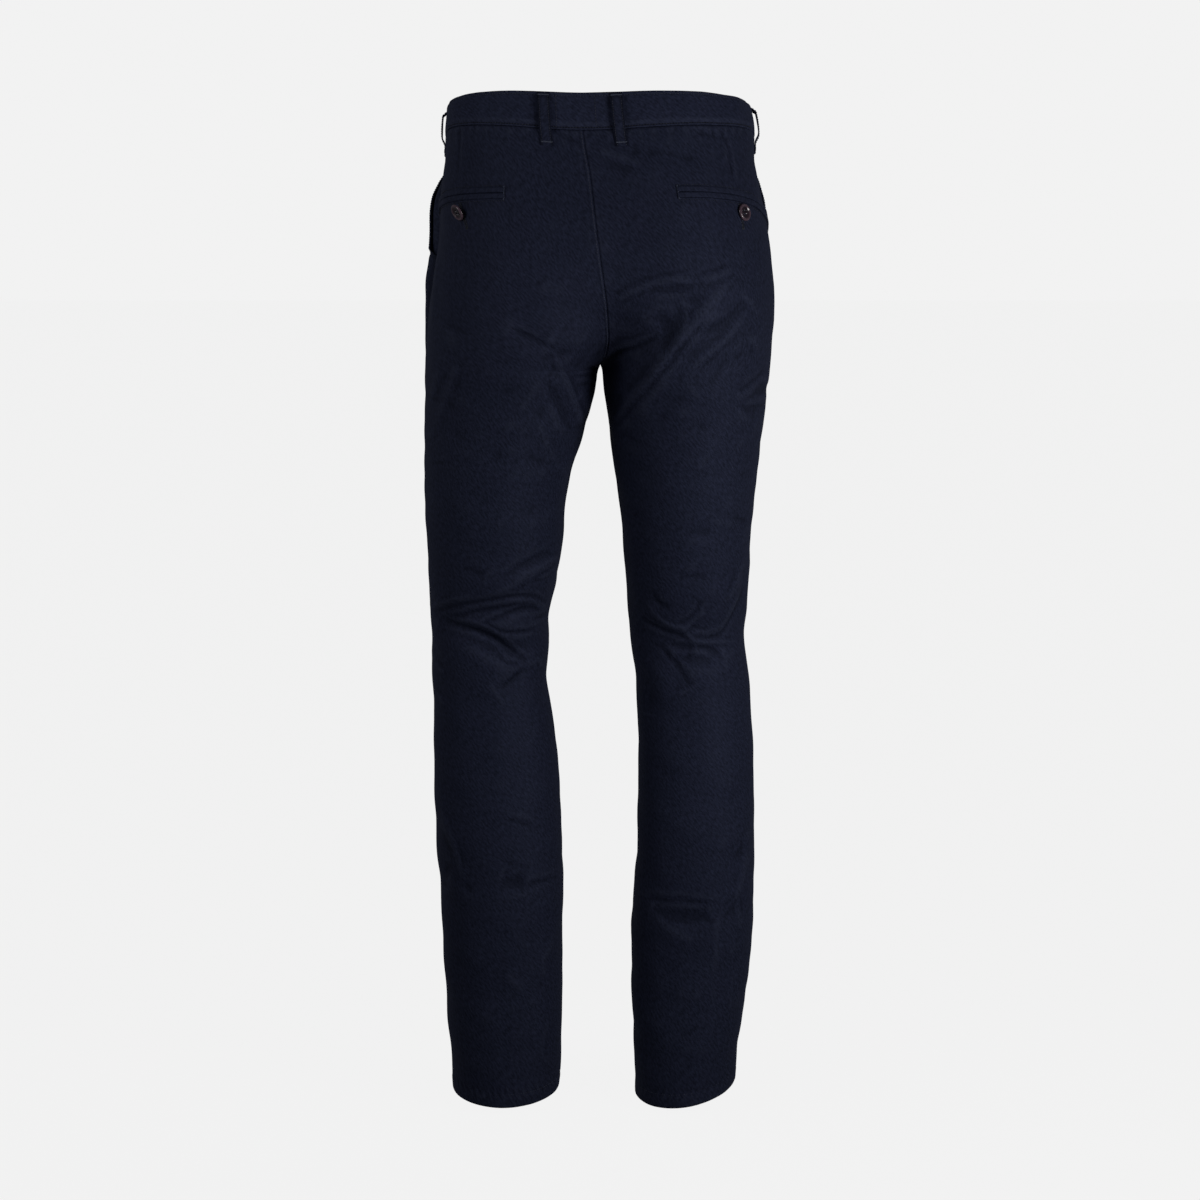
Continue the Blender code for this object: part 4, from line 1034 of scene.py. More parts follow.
FACING_UNDERLAY = 20.0
FACING_TAIL = 14.0
SIDE_ALLOWANCE = 8.0
ALLOWANCE_WALL = 1.0
HEM_TURNING = 15.0


def laid(leg, levels, turns, out, rise=0.0):
    """Points laid on the draped cloth: out along its normals, and a rise up along it from their level."""
    base, normal = smooth_body(leg, levels, turns), normals(leg, levels, turns)
    up = smooth_body(leg, levels + 1, turns) - smooth_body(leg, levels - 1, turns)
    up /= np.linalg.norm(up, axis=-1, keepdims=True)
    out = (drape(base) + out)[..., None]
    return base + out * normal + np.asarray(rise, float)[..., None] * up


def centre_strip(name, face, width, depth, thickness, top, foot, finish, columns=10, rows=60):
    """A strip down the centre, as wide to each side of it, at one depth behind the cloth's face."""
    levels = np.linspace(top, foot, rows)
    outer, inner, pairs = [], [], []
    for leg in (RIGHT, LEFT):
        length = half_length(leg, levels, face)[:, None]
        edge = face * (1 - (width / 2) / length)
        share = np.linspace(0, 1, columns)
        turns = edge + (face - edge) * (share if leg == RIGHT else share[::-1])
        turns = turns if leg == RIGHT else turns[:, 1:]
        outer.append(laid(leg, levels, turns, depth))
        inner.append(laid(leg, levels, turns, depth - thickness))
        pairs.append(np.stack([(1 - np.abs(turns)) * length * leg, levels[:, None] + 0 * turns], -1))
    outer, inner, pairs = (np.hstack(part) for part in (outer, inner, pairs))
    made = shell(name, outer, inner, finish, pairs, np.zeros(outer.shape[:2]))
    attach(made, "root")
    return made


for face, side, top in ((1, "back", BAND_FOOT - 1), (-1, "front", FLY_FOOT - 1)):
    allowance = centre_strip(
        f"centre_{side}_allowance", face, 2 * ALLOWANCE, UNDER, ALLOWANCE_WALL, top, CROTCH + 4, NAVY_TWILL
    )
    allowance.parent = bpy.data.objects[f"{side}_panel_left"]
for leg in (LEFT, RIGHT):
    name = LEG_NAMES[leg]
    levels = np.linspace(MOUTH_FOOT - FACING_TAIL - 1, HEM + HEM_TURNING + 1, 260)
    reach = np.linspace(-ALLOWANCE, ALLOWANCE, 9)
    back, front = (half_length(leg, levels, face)[:, None] for face in (1, -1))
    turns = reach * np.where(reach > 0, 1 / back, 1 / front)
    allowance = shell(
        f"side_allowance_{name}",
        laid(leg, levels, turns, UNDER),
        laid(leg, levels, turns, UNDER - ALLOWANCE_WALL),
        NAVY_TWILL,
        cloth_uv(leg, levels, turns, 1),
        np.zeros(turns.shape),
    )
    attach(allowance, "root")
    allowance.parent = bpy.data.objects[f"back_panel_{name}"]

    levels = np.linspace(BAND_FOOT - 1.0, MOUTH_FOOT - FACING_TAIL, 56)
    start = (SIDE_ALLOWANCE / half_length(leg, levels, 1))[:, None]
    end = (mouth_edge(leg, levels) - FACING_UNDERLAY / half_length(leg, levels, -1))[:, None]
    turns = start + (end - start) * np.linspace(0, 1, 40)
    base, normal = smooth_body(leg, levels, turns), normals(leg, levels, turns)
    forward = -turns * half_length(leg, levels, -1)[:, None]
    mouth = np.maximum(-mouth_edge(leg, levels) * half_length(leg, levels, -1), 6)[:, None]
    lined = np.clip(forward / mouth, 0, 1)
    hang = drape(base) + GAPE_LINED * gape(leg, levels, turns) * lined**2 * (3 - 2 * lined)
    # Its wear_and_shade paints shade into the facing's hollows, and rubbing on its ridges.
    facing = shell(
        f"pocket_facing_cloth_{name}",
        base + (hang + UNDER)[..., None] * normal,
        base + (hang + UNDER - WALL)[..., None] * normal,
        NAVY_TWILL,
        cloth_uv(leg, levels, turns, -1),
        wear_and_shade_of(hang),
    )
    declare(facing, leg, levels, turns, -1, [f"pocket_facing_{name}"])

    levels = np.r_[np.linspace(HEM + HEM_TURNING, HEM + 1, 10), HEM + 0.5, HEM + 0.1]
    turns = np.tile(np.r_[np.linspace(-1, 0, 90), np.linspace(0, 1, 100)[1:-1]], (len(levels), 1))
    base, normal = smooth_body(leg, levels, turns), normals(leg, levels, turns)
    roll = (0.35 * np.exp(-((levels - HEM) / 0.6) ** 2))[:, None]
    hang = drape(base) + UNDER + roll
    # Its wear_and_shade paints shade into the turning's hollows, and rubbing on its ridges.
    hem = shell(
        f"hem_turning_{name}",
        base + hang[..., None] * normal,
        base + (hang - WALL - 0.5 * roll)[..., None] * normal,
        NAVY_TWILL,
        cloth_uv(leg, levels, turns, 1),
        wear_and_shade_of(hang),
        closed=True,
    )
    round_leg = sum(float(half_length(leg, HEM, face)[0]) for face in (-1, 1)) * MM
    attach(hem, "root")
    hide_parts(f"hem_{name}")

# ---------------------------------------------------------------------------------------------------------
# Waistband
# One strip of twill folded over a firm interfacing, with its long edge turned in over the tops of the panels
# and stitched down. Its right end runs on under the left at the fly.
# ---------------------------------------------------------------------------------------------------------

BAND_WALL = 2.4
BAND_PROUD = 0.6
UNDERLAP = 38.0
UNDERLAP_TUCK = -(BAND_WALL + SEAM_GAP + 0.1)
TUCK_RUN = 40.0
FOOT_STITCH, TOP_STITCH = 2.3, 34.6
BAND_STEP = 2.2


def band_face(up):
    """How far the band's outer face stands out at a height above its foot: rolled in at the foot, slightly
    full in the middle, and drawn in along its two rows of stitches."""
    full = 0.3 * (1 - ((up - 19) / 19) ** 6)
    rows = 0.75 * np.exp(-(((up - FOOT_STITCH) / 0.8) ** 2))
    rows += 0.35 * np.exp(-(((up - TOP_STITCH) / 0.7) ** 2))
    return BAND_PROUD + full - rows - 0.8 * np.exp(-((up / 0.5) ** 2))


def band_ripple(leg, turns):
    """Slight waves of the band along its length."""
    return 0.22 * np.sin(turns * 31 + leg) + 0.15 * np.sin(turns * 67)


def band_section():
    """The band's section, round from its foot up the outer face, over the rolled top and down the inside."""
    up = np.r_[0, 0.4, 0.8, 1.3, 1.9, 2.5, 3.3, np.linspace(6, 32, 9), 33.3, 34, 34.6, 35.2, 36, 36.6]
    half = BAND_WALL / 2
    around = np.linspace(0, math.pi, 9)
    level = np.r_[BAND_FOOT + up, WAIST - half + half * np.sin(around)]
    out = np.r_[band_face(up), BAND_PROUD - half + half * np.cos(around)]
    down = np.linspace(WAIST - 3, BAND_FOOT + 0.3, 10)
    return np.r_[level, down], np.r_[out, np.full(10, BAND_PROUD - BAND_WALL)]


def tube(name, rings, finish, uv, wear_and_shade=None):
    """A closed tube from a grid of rings, one ring a row, with its two ends filled by fans."""
    rows, columns = rings.shape[:2]
    number = np.arange(rows * columns).reshape(rows, columns)
    number = np.hstack([number, number[:, :1]])
    faces = [grid_faces(number)]
    for centre, ring in ((rows * columns, number[0]), (rows * columns + 1, number[-1, ::-1])):
        faces.append(np.stack([np.full(columns, centre), ring[:-1], ring[1:]], axis=-1))
    points = np.concatenate([rings.reshape(-1, 3), rings[0].mean(0)[None], rings[-1].mean(0)[None]])
    pairs = np.concatenate([uv.reshape(-1, 2), uv[0].mean(0)[None], uv[-1].mean(0)[None]])
    wear_and_shade = np.zeros(rows * columns) if wear_and_shade is None else wear_and_shade.ravel()
    return add_mesh(name, points, faces, finish, pairs, np.r_[wear_and_shade, 0, 0])


def band_runs():
    """The band's three stretches as (leg, turns, how deep each ring is tucked)."""
    halves = {leg: sum(half_length(leg, BAND_FOOT, face)[0] for face in (-1, 1)) for leg in (LEFT, RIGHT)}
    front = {leg: half_length(leg, BAND_FOOT, -1)[0] for leg in (LEFT, RIGHT)}
    left = np.linspace(-1 + SEAM_GAP / front[LEFT], 1, int(halves[LEFT] / BAND_STEP))
    right = np.linspace(1, -1, int(halves[RIGHT] / BAND_STEP))[1:]
    tucked = np.clip(1 - (1 + right) * front[RIGHT] / TUCK_RUN, 0, 1)
    tucked = tucked**2 * (3 - 2 * tucked)
    under = np.linspace(-1, -1 + UNDERLAP / front[LEFT], int(UNDERLAP / BAND_STEP))[1:]
    return (
        (LEFT, left, np.zeros(len(left))),
        (RIGHT, right, tucked * UNDERLAP_TUCK),
        (LEFT, under, np.full(len(under), UNDERLAP_TUCK)),
    )


section_levels, section_out = band_section()
rings, sunk = [], []
for leg, turns, tuck in band_runs():
    grid = np.tile(turns, (len(section_levels), 1))
    out = section_out[:, None] + (tuck + band_ripple(leg, turns))[None, :]
    rings.append(laid(leg, section_levels, grid, out).transpose(1, 0, 2))
    sunk.append(np.tile(section_out, (len(turns), 1)))
rings, sunk = np.concatenate(rings), np.concatenate(sunk)
along = np.r_[0, np.cumsum(np.linalg.norm(np.diff(rings[:, 10], axis=0), axis=1))]
uv = np.stack([np.tile(section_levels, (len(rings), 1)), along[:, None] + 0 * sunk], axis=-1)
# The band's material paints shade in its stitch grooves and at its rolled foot, deeper than on the panels,
# and rubbing on its crest.
waistband = tube("waistband_cloth", rings, BAND_TWILL_PAINTED_LIGHT, uv, wear_and_shade_of(sunk, -1.2))
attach(waistband, "root")
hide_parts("waistband")

# ---------------------------------------------------------------------------------------------------------
# Belt loops
# Six straps of folded twill, stitched along both edges, that hang over the band from its top edge. Each is
# tacked down at the top and just below the band, where it comes to rest on the panel.
# ---------------------------------------------------------------------------------------------------------

LOOP_WIDTH = 12.5
LOOP_THICKNESS = 1.4
LOOP_GAP = 3.8
LOOP_REST = 0.4
LOOP_PATH = (
    (0.8, 0.0),
    (-3.0, 0.35),
    (-6.5, 1.0),
    (-18.0, 1.0),
    (-30.0, 1.0),
    (-37.0, 0.9),
    (-40.5, 0.4),
    (-44.5, 0.0),
    (-54.0, 0.0),
)
LOOP_COLUMNS = ("name", "leg", "half", "from_centre")
LOOPS = (
    ("belt_loop_back_left", LEFT, 1, 40.0),
    ("belt_loop_back_right", RIGHT, 1, 36.5),
    ("belt_loop_side_left", LEFT, -1, 0.985),
    ("belt_loop_side_right", RIGHT, 1, 0.955),
    ("belt_loop_front_left", LEFT, -1, 78.0),
    ("belt_loop_front_right", RIGHT, -1, 66.0),
)
LOOP_STITCH = 4.5
LOOP_TACKS = (-1.6, -50.0)
LOOP_LEAN = 0.03


def thread_material(name, deep, lit):
    """Spun polyester thread, glossier than the cloth, with a fine twist."""
    made, tree, shader = new_material(name)
    place = put(tree, "ShaderNodeTexCoord").outputs["Object"]
    tone = put(tree, "ShaderNodeTexNoise", {"Vector": place, "Scale": 260.0})
    colour = blend_colour(tree, tone.outputs[0], deep, lit)
    tree.links.new(colour, shader.inputs["Base Color"])
    twist = put(tree, "ShaderNodeTexNoise", {"Vector": place, "Scale": 2600.0, "Detail": 1.0})
    bump = put(tree, "ShaderNodeBump", {"Height": twist.outputs[0], "Strength": 0.4, "Distance": 0.0001})
    tree.links.new(bump.outputs[0], shader.inputs["Normal"])
    set_inputs(shader, Roughness=0.55, Specular_IOR_Level=0.4)
    return made


NAVY_THREAD = thread_material("navy_thread", (0.012, 0.014, 0.028, 1), (0.026, 0.030, 0.052, 1))
# Paler thread for the bartacks: a painted sheen, where their satin strands catch the light.
SHEEN_PAINTED_THREAD = thread_material("sheen_painted_thread", (0.018, 0.022, 0.042, 1), (0.036, 0.044, 0.080, 1))
# Near-black thread: painted shade for the dark stitch holes along the welts and the band's foot, and for the
# buttonholes' slits.
SHADE_PAINTED_THREAD = thread_material("shade_painted_thread", (0.003, 0.004, 0.008, 1), (0.006, 0.007, 0.014, 1))


TACK_REACH, TACK_PITCH = 1.0, 0.42
PURL_REACH, PURL_PITCH = 0.8, 0.40


def spindles(name, starts, ends, out, radius, finish):
    """Short strands as thin spindles of six sides, each bowed outwards between its two ends."""
    way = ends - starts
    length = np.linalg.norm(way, axis=1, keepdims=True)
    way = way / length
    side = np.cross(out, way)
    side /= np.linalg.norm(side, axis=1, keepdims=True)
    high = np.cross(way, side)
    around = np.arange(6) * math.pi / 3
    spokes = side[:, None] * np.cos(around)[:, None] + high[:, None] * np.sin(around)[:, None]
    middle = (starts + ends) / 2
    rings = [starts[:, None] - high[:, None] * radius]
    for share, thick, bow in ((-0.34, 0.8, 0.35), (0.0, 1.0, 0.6), (0.34, 0.8, 0.35)):
        centre = middle + way * length * share + high * bow * radius
        rings.append(centre[:, None] + spokes * radius * thick)
    rings.append(ends[:, None] - high[:, None] * radius)
    points = np.concatenate(rings, axis=1)
    first = np.arange(len(points))[:, None, None] * 20
    step = np.arange(6)
    after = (step + 1) % 6
    fans = [
        np.stack([0 * step, 1 + after, 1 + step], -1),
        np.stack([19 + 0 * step, 13 + step, 13 + after], -1),
    ]
    walls = [np.stack([r + step, r + after, r + 6 + after, r + 6 + step], -1) for r in (1, 7)]
    faces = [(np.concatenate(part)[None] + first).reshape(-1, n) for part, n in ((fans, 3), (walls, 4))]
    return add_mesh(name, points, faces, finish, sharp=180)


def sewn(name, starts, ends, outs, radius, finish):
    """Strands from lists of arrays, as one piece that belongs to the cloth."""
    made = spindles(name, *(np.concatenate(part) for part in (starts, ends, outs)), radius, finish)
    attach(made, "root")


def spaced(points, normals_there, pitch):
    """A path's places and normals at even distances along it, with the direction of the path there."""
    run = np.r_[0, np.cumsum(np.linalg.norm(np.diff(points, axis=0), axis=1))]
    at = np.arange(pitch / 2, run[-1], pitch)
    way = np.gradient(points, axis=0)
    found = [
        np.stack([np.interp(at, run, values[:, k]) for k in range(3)], -1)
        for values in (points, normals_there, way)
    ]
    found[2] /= np.linalg.norm(found[2], axis=1, keepdims=True)
    return found


def running_stitch(name, paths, finish=NAVY_THREAD, pitch=2.8, length=2.2, radius=0.30):
    """Rows of lock stitch: a short strand along the path at every pitch, each a little off the last."""
    rng = np.random.default_rng(len(name))
    starts, ends, outs = [], [], []
    for points, there in paths:
        middle, out, way = spaced(points, there, pitch)
        across = np.cross(out, way) * rng.uniform(-0.12, 0.12, (len(middle), 1))
        half = way * length / 2 * rng.uniform(0.9, 1.05, (len(middle), 1))
        starts.append(middle - half - across)
        ends.append(middle + half + across)
        outs.append(out)
    sewn(name, starts, ends, outs, radius, finish)


def satin_bars(name, bars, finish, radius=0.24):
    """Bartacks and buttonhole edges: close strands laid side by side across a short line.

    Each bar is (line points, normals, half of the strands' length, pitch).
    """
    starts, ends, outs = [], [], []
    for points, there, reach, pitch in bars:
        middle, out, way = spaced(points, there, pitch)
        across = np.cross(out, way)
        across /= np.linalg.norm(across, axis=1, keepdims=True)
        lean = way * pitch * 0.4
        starts.append(middle - across * reach - lean)
        ends.append(middle + across * reach + lean)
        outs.append(out)
    sewn(name, starts, ends, outs, radius, finish)


def loop_ring(columns=20):
    """A strap's section: a flat oblong with round edges, drawn in along its two rows of stitches."""
    around = np.arange(columns) * 2 * math.pi / columns
    across = LOOP_WIDTH / 2 * np.sign(np.cos(around)) * np.abs(np.cos(around)) ** 0.45
    thick = LOOP_THICKNESS / 2 * (1 + np.sign(np.sin(around)) * np.abs(np.sin(around)) ** 0.5)
    rows = np.exp(-((np.abs(across) - LOOP_STITCH) ** 2) / 0.8) * (np.sin(around) > 0)
    return across, thick + 0.12 * (1 - (across / LOOP_WIDTH * 2) ** 2) * (np.sin(around) > 0) - 0.3 * rows


def loop_path():
    """The strap's underside as (level, stand off the cloth), from inside the band's top edge to its end."""
    level = WAIST - np.array([1.6, 1.75, 2.1])
    stand = BAND_PROUD - np.array([1.3, 0.7, 0.1])
    levels, lift = np.array(LOOP_PATH).T
    down = np.linspace(-1.0, levels[-1], 40)
    on_band = BAND_PROUD * step_down(BAND_FOOT - down, 0, 0.6)
    off = LOOP_REST + (LOOP_GAP - LOOP_REST) * smooth(down, levels, lift) + on_band
    return np.r_[level, down], np.r_[stand, off]


def loop_frame(leg, half, from_centre):
    """A loop's path, the turn at its middle, and the length of cloth from side to centre beneath it."""
    level, stand = loop_path()
    length = half_length(leg, BAND_FOOT / 2, half)[0]
    centre = half * (1 - (from_centre if from_centre <= 1 else from_centre / length))
    return level, stand, centre, length


loop_rows, loop_tacks = [], []
for row in LOOPS:
    loop = dict(zip(LOOP_COLUMNS, row))
    leg = loop["leg"]
    level, stand, centre, length = loop_frame(leg, loop["half"], loop["from_centre"])
    slope = np.stack([np.gradient(level), np.gradient(stand)], -1)
    slope /= np.linalg.norm(slope, axis=1, keepdims=True)
    across, thick = loop_ring()
    lean = -leg * LOOP_LEAN * level[:, None] / length * (loop["half"] > 0 and loop["from_centre"] > 1)
    turns = centre + lean + np.tile(across / length, (len(level), 1))
    rise, out = slope[:, 1:] * thick, stand[:, None] - slope[:, :1] * thick
    rings = laid(leg, level, turns, out, rise)
    run = np.r_[0, np.cumsum(np.hypot(np.diff(level), np.diff(stand)))]
    uv = np.stack([np.tile(across, (len(level), 1)), run[:, None] + 0 * turns], -1)
    # Painted shade in the grooves along the strap's two stitch rows, and rubbing on its crest.
    sunk = np.tile(np.where(thick > 0.8, np.clip((thick - 1.42) * 7, -1.2, 0.3), 0), (len(level), 1))
    strap = tube(loop["name"] + "_strap", rings, NAVY_TWILL, uv, sunk)
    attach(strap, "root")
    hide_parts(loop["name"])
    for column in (-LOOP_STITCH, LOOP_STITCH):
        lone = centre + lean + column / length
        rise, out = slope[:, 1:] * LOOP_THICKNESS, stand[:, None] - slope[:, :1] * LOOP_THICKNESS
        top = laid(leg, level, lone, out, rise)
        loop_rows.append((top[3:-1, 0], normals(leg, level, lone)[3:-1, 0]))
    for tack in LOOP_TACKS:
        row_turns = centre + np.interp(-tack, -level, lean[:, 0])
        row_turns = row_turns + np.linspace(-0.46, 0.46, 12)[:, None] * LOOP_WIDTH / length
        at = np.full(12, tack)
        off = np.interp(-at, -level, stand)[:, None] + LOOP_THICKNESS
        line = laid(leg, at, row_turns, off)[:, 0]
        loop_tacks.append((line, normals(leg, at, row_turns)[:, 0], TACK_REACH, TACK_PITCH))
running_stitch("belt_loop_stitching", loop_rows, pitch=2.5, length=2.0, radius=0.24)
satin_bars("belt_loop_bartacks", loop_tacks, SHEEN_PAINTED_THREAD)

# ---------------------------------------------------------------------------------------------------------
# Back pocket welts
# Each back pocket is a slit in the back between two folded lips, bound at both ends by a bartack. Stitches
# in the seam hold the lips to the pocket bag.
# ---------------------------------------------------------------------------------------------------------

WELT_LEVEL = {LEFT: -101.2, RIGHT: -100.2}
WELT_DROP = {LEFT: -7.0, RIGHT: -24.0}
WELT_BEND = {LEFT: 1.5, RIGHT: 2.2}
WELT_HEIGHT = 6.0
WELT_REST = 0.15
WELT_INNER = {LEFT: 92.0, RIGHT: 88.0}
WELT_OUTER = 3.0
WELT_ROWS = 64


def welt_line(leg, above, stop=0.0):
    """Levels and turns along a pocket, at a height above its opening, stopping short of both ends."""
    share = np.linspace(0, 1, WELT_ROWS)
    length = half_length(leg, WELT_LEVEL[leg], 1)[0]
    start, end = 1 - (WELT_INNER[leg] + stop) / length, (WELT_OUTER + stop) / length
    levels = WELT_LEVEL[leg] + above + WELT_DROP[leg] * share ** WELT_BEND[leg]
    return levels, (start + (end - start) * share)[:, None]


def welt_ring(upper):
    """A lip's section: full, and rolled both into the opening and into its seam. Rise and height out."""
    over = np.array([6.0, 5.85, 5.5, 5.0, 4.2, 3.2, 2.3, 1.5, 0.85, 0.4, 0.06])
    near, far = np.clip(over / 1.1, 0, 1), np.clip((WELT_HEIGHT - over) / 1.1, 0, 1)
    swell = np.sqrt(near * (2 - near) * far * (2 - far))
    height = WELT_REST + 0.05 + 1.9 * swell
    under = np.array([0.5, 2.0, 4.0, 5.7])
    rise = np.r_[over, under] * (1 if upper else -1)
    return rise, np.r_[height, np.full(len(under), WELT_REST)]


welt_stitches, welt_tacks = [], []
for leg in (LEFT, RIGHT):
    name = LEG_NAMES[leg]
    for upper in (True, False):
        rise, height = welt_ring(upper)
        levels, turns = welt_line(leg, SEAM_GAP if upper else 0.0)
        turns = np.tile(turns, (1, len(rise)))
        waver = 1 + 0.12 * np.sin(np.linspace(0, 23, WELT_ROWS))[:, None]
        rings = laid(leg, levels, turns, height * waver, np.tile(rise, (WELT_ROWS, 1)))
        run = (turns[:1] - turns) * half_length(leg, WELT_LEVEL[leg], 1)[0]
        uv = np.stack([run, np.tile(rise, (WELT_ROWS, 1))], -1)
        part = "upper" if upper else "lower"
        # Painted shade along the lips' rolled edges and in the slit between them, and rubbing on their
        # crests.
        wear_and_shade = np.tile(np.clip((height - 1.75) * 2.2, -1.3, 0.4), (WELT_ROWS, 1))
        lip = tube(f"welt_{part}_lip_{name}", rings, NAVY_TWILL, uv, wear_and_shade)
        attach(lip, "root")
        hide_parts(f"welt_{part}_{name}")
        lip.parent = bpy.data.objects[f"back_panel_{name}"]
        levels, turns = welt_line(leg, (WELT_HEIGHT + 1.0) * (1 if upper else -1), -0.5)
        welt_stitches.append((laid(leg, levels, turns, 0.25)[:, 0], normals(leg, levels, turns)[:, 0]))
    length = half_length(leg, WELT_LEVEL[leg], 1)[0]
    for end in (0, -1):
        levels, turns = welt_line(leg, 0.0, 0.4)
        at = levels[end] + np.linspace(WELT_HEIGHT + 0.4, -WELT_HEIGHT - 0.4, 14)
        along = np.full((14, 1), turns[end, 0])
        line, there = laid(leg, at, along, 1.3)[:, 0], normals(leg, at, along)[:, 0]
        welt_tacks.append((line, there, TACK_REACH, TACK_PITCH))
running_stitch("welt_stitching", welt_stitches, SHADE_PAINTED_THREAD, pitch=2.7, length=1.4, radius=0.34)
satin_bars("welt_bartacks", welt_tacks, SHEEN_PAINTED_THREAD)

# ---------------------------------------------------------------------------------------------------------
# Buttons
# Turned from dark horn-effect resin, with a raised rim, a dished middle and four holes. Each is sewn on
# through a short shank of thread, over a buttonhole worked in purl stitches.
# ---------------------------------------------------------------------------------------------------------

BUTTON_RADIUS = 9.0
BUTTON_THICKNESS = 3.2
BUTTON_HOLE = 1.1
BUTTON_HOLE_CIRCLE = 2.4
BUTTON_HOLE_DEPTH = 1.5
SHANK_RADIUS = 1.5
SHANK_STRANDS = 10
BUTTON_LIFT = 0.6
BACK_BUTTON = {LEFT: (-118.5, 0.40), RIGHT: (-119.0, 0.368)}
LEFT_BUTTON_FACES = (0.752, 0.485, -0.455)
WAIST_BUTTON = (BAND_FOOT / 2, -0.94)
BUTTONHOLE_COLUMNS = ("leg", "start", "end", "proud")
BUTTONHOLES = (
    (LEFT, (-110.5, 0.385), (-133.0, 0.435), 0.25),
    (RIGHT, (-110.5, 0.379), (-133.5, 0.384), 0.25),
    (LEFT, (BAND_FOOT / 2, -0.905), (BAND_FOOT / 2, -0.985), BAND_PROUD + 0.4),
)
PURL_APART = 1.15
BAR_HALF = 1.9
BUTTON_PROFILE = (
    (0.0, 0.56),
    (0.30, 0.565),
    (0.52, 0.60),
    (0.62, 0.66),
    (0.70, 0.82),
    (0.77, 0.96),
    (0.84, 1.0),
    (0.90, 0.97),
    (0.955, 0.84),
    (0.985, 0.66),
    (1.0, 0.50),
    (0.985, 0.36),
    (0.93, 0.22),
    (0.80, 0.06),
    (0.66, 0.0),
    (0.0, 0.0),
)


HORN_DARK = (0.0035, 0.0012, 0.0038, 1)
HORN_STREAK = (0.0150, 0.0060, 0.0120, 1)
# The paler rim is a painted highlight, for the light reflected round the button's rim.
HORN_RIM_HIGHLIGHT = (0.070, 0.042, 0.056, 1)


def horn_material():
    """Polished resin in the likeness of horn: purple-black, with browner streaks, a clear gloss and a paler
    rim that is a painted highlight.
    """
    made, tree, shader = new_material("dark_horn")
    place = put(tree, "ShaderNodeTexCoord").outputs["Object"]
    stretched = put(tree, "ShaderNodeMapping", {"Vector": place, "Scale": (1.0, 1.0, 0.35)})
    streaks = put(tree, "ShaderNodeTexNoise", {"Vector": stretched.outputs[0], "Scale": 260.0, "Detail": 3.0})
    share = put(tree, "ShaderNodeMapRange", {"Value": streaks.outputs[0], "From Min": 0.35, "From Max": 0.7})
    colour = blend_colour(tree, share.outputs[0], HORN_DARK, HORN_STREAK)
    turned = put(tree, "ShaderNodeUVMap", uv_map="cloth").outputs[0]
    radius = put(tree, "ShaderNodeVectorMath", {0: turned}, operation="LENGTH").outputs["Value"]
    rim = put(tree, "ShaderNodeMapRange", {"Value": radius, "From Min": 5.4, "From Max": 7.0, "To Max": 0.8})
    colour = blend_colour(tree, rim.outputs[0], colour, HORN_RIM_HIGHLIGHT)
    tree.links.new(colour, shader.inputs["Base Color"])
    scuffs = put(tree, "ShaderNodeTexNoise", {"Vector": place, "Scale": 900.0})
    rough = put(
        tree,
        "ShaderNodeMapRange",
        {"Value": scuffs.outputs[0], "From Min": 0.3, "From Max": 0.8, "To Min": 0.12, "To Max": 0.32},
    )
    tree.links.new(rough.outputs[0], shader.inputs["Roughness"])
    set_inputs(shader, Specular_IOR_Level=0.5)
    return made


DARK_HORN = horn_material()


def button_points(sides=60, per_row=3):
    """A turned profile with four wells sunk in its face, on rings of points, in the button's own axes."""
    rows = np.array(BUTTON_PROFILE)
    at = np.linspace(0, len(rows) - 1, (len(rows) - 1) * per_row + 1)
    radius = np.interp(at, np.arange(len(rows)), rows[:, 0]) * BUTTON_RADIUS
    height = np.interp(at, np.arange(len(rows)), rows[:, 1]) * BUTTON_THICKNESS
    radius, height = radius[1:-1, None], height[1:-1, None]
    angles = np.arange(sides) * 2 * math.pi / sides
    x, y = radius * np.cos(angles), radius * np.sin(angles)
    for i in range(4):
        angle = math.pi * (2 * i + 1) / 4
        away = np.hypot(x - BUTTON_HOLE_CIRCLE * math.cos(angle), y - BUTTON_HOLE_CIRCLE * math.sin(angle))
        on_face = np.arange(len(height))[:, None] < 10 * per_row
        height = height - BUTTON_HOLE_DEPTH * step_down(away, BUTTON_HOLE, 0.12) * on_face
    return x, y, height + 0 * x


def make_button(name, leg, level, turn, proud, faces, node):
    """A button standing off the cloth, square to it or, where it hangs askew, facing a way of its own."""
    levels, turns = np.array([float(level)]), np.array([[float(turn)]])
    place = laid(leg, levels, turns, np.array([[proud]]))[0, 0]
    axis = Vector(faces or normals(leg, levels, turns)[0, 0]).normalized()
    side = Vector((0, 0, 1)).cross(axis).normalized()
    high = axis.cross(side)
    x, y, z = button_points()
    axes = np.array([side, high, axis])
    rings = np.stack([x, y, z], -1) @ axes + place
    made = tube(name, rings, DARK_HORN, np.stack([x, y], -1))
    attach(made, "root")
    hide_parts(node)
    return place, axes


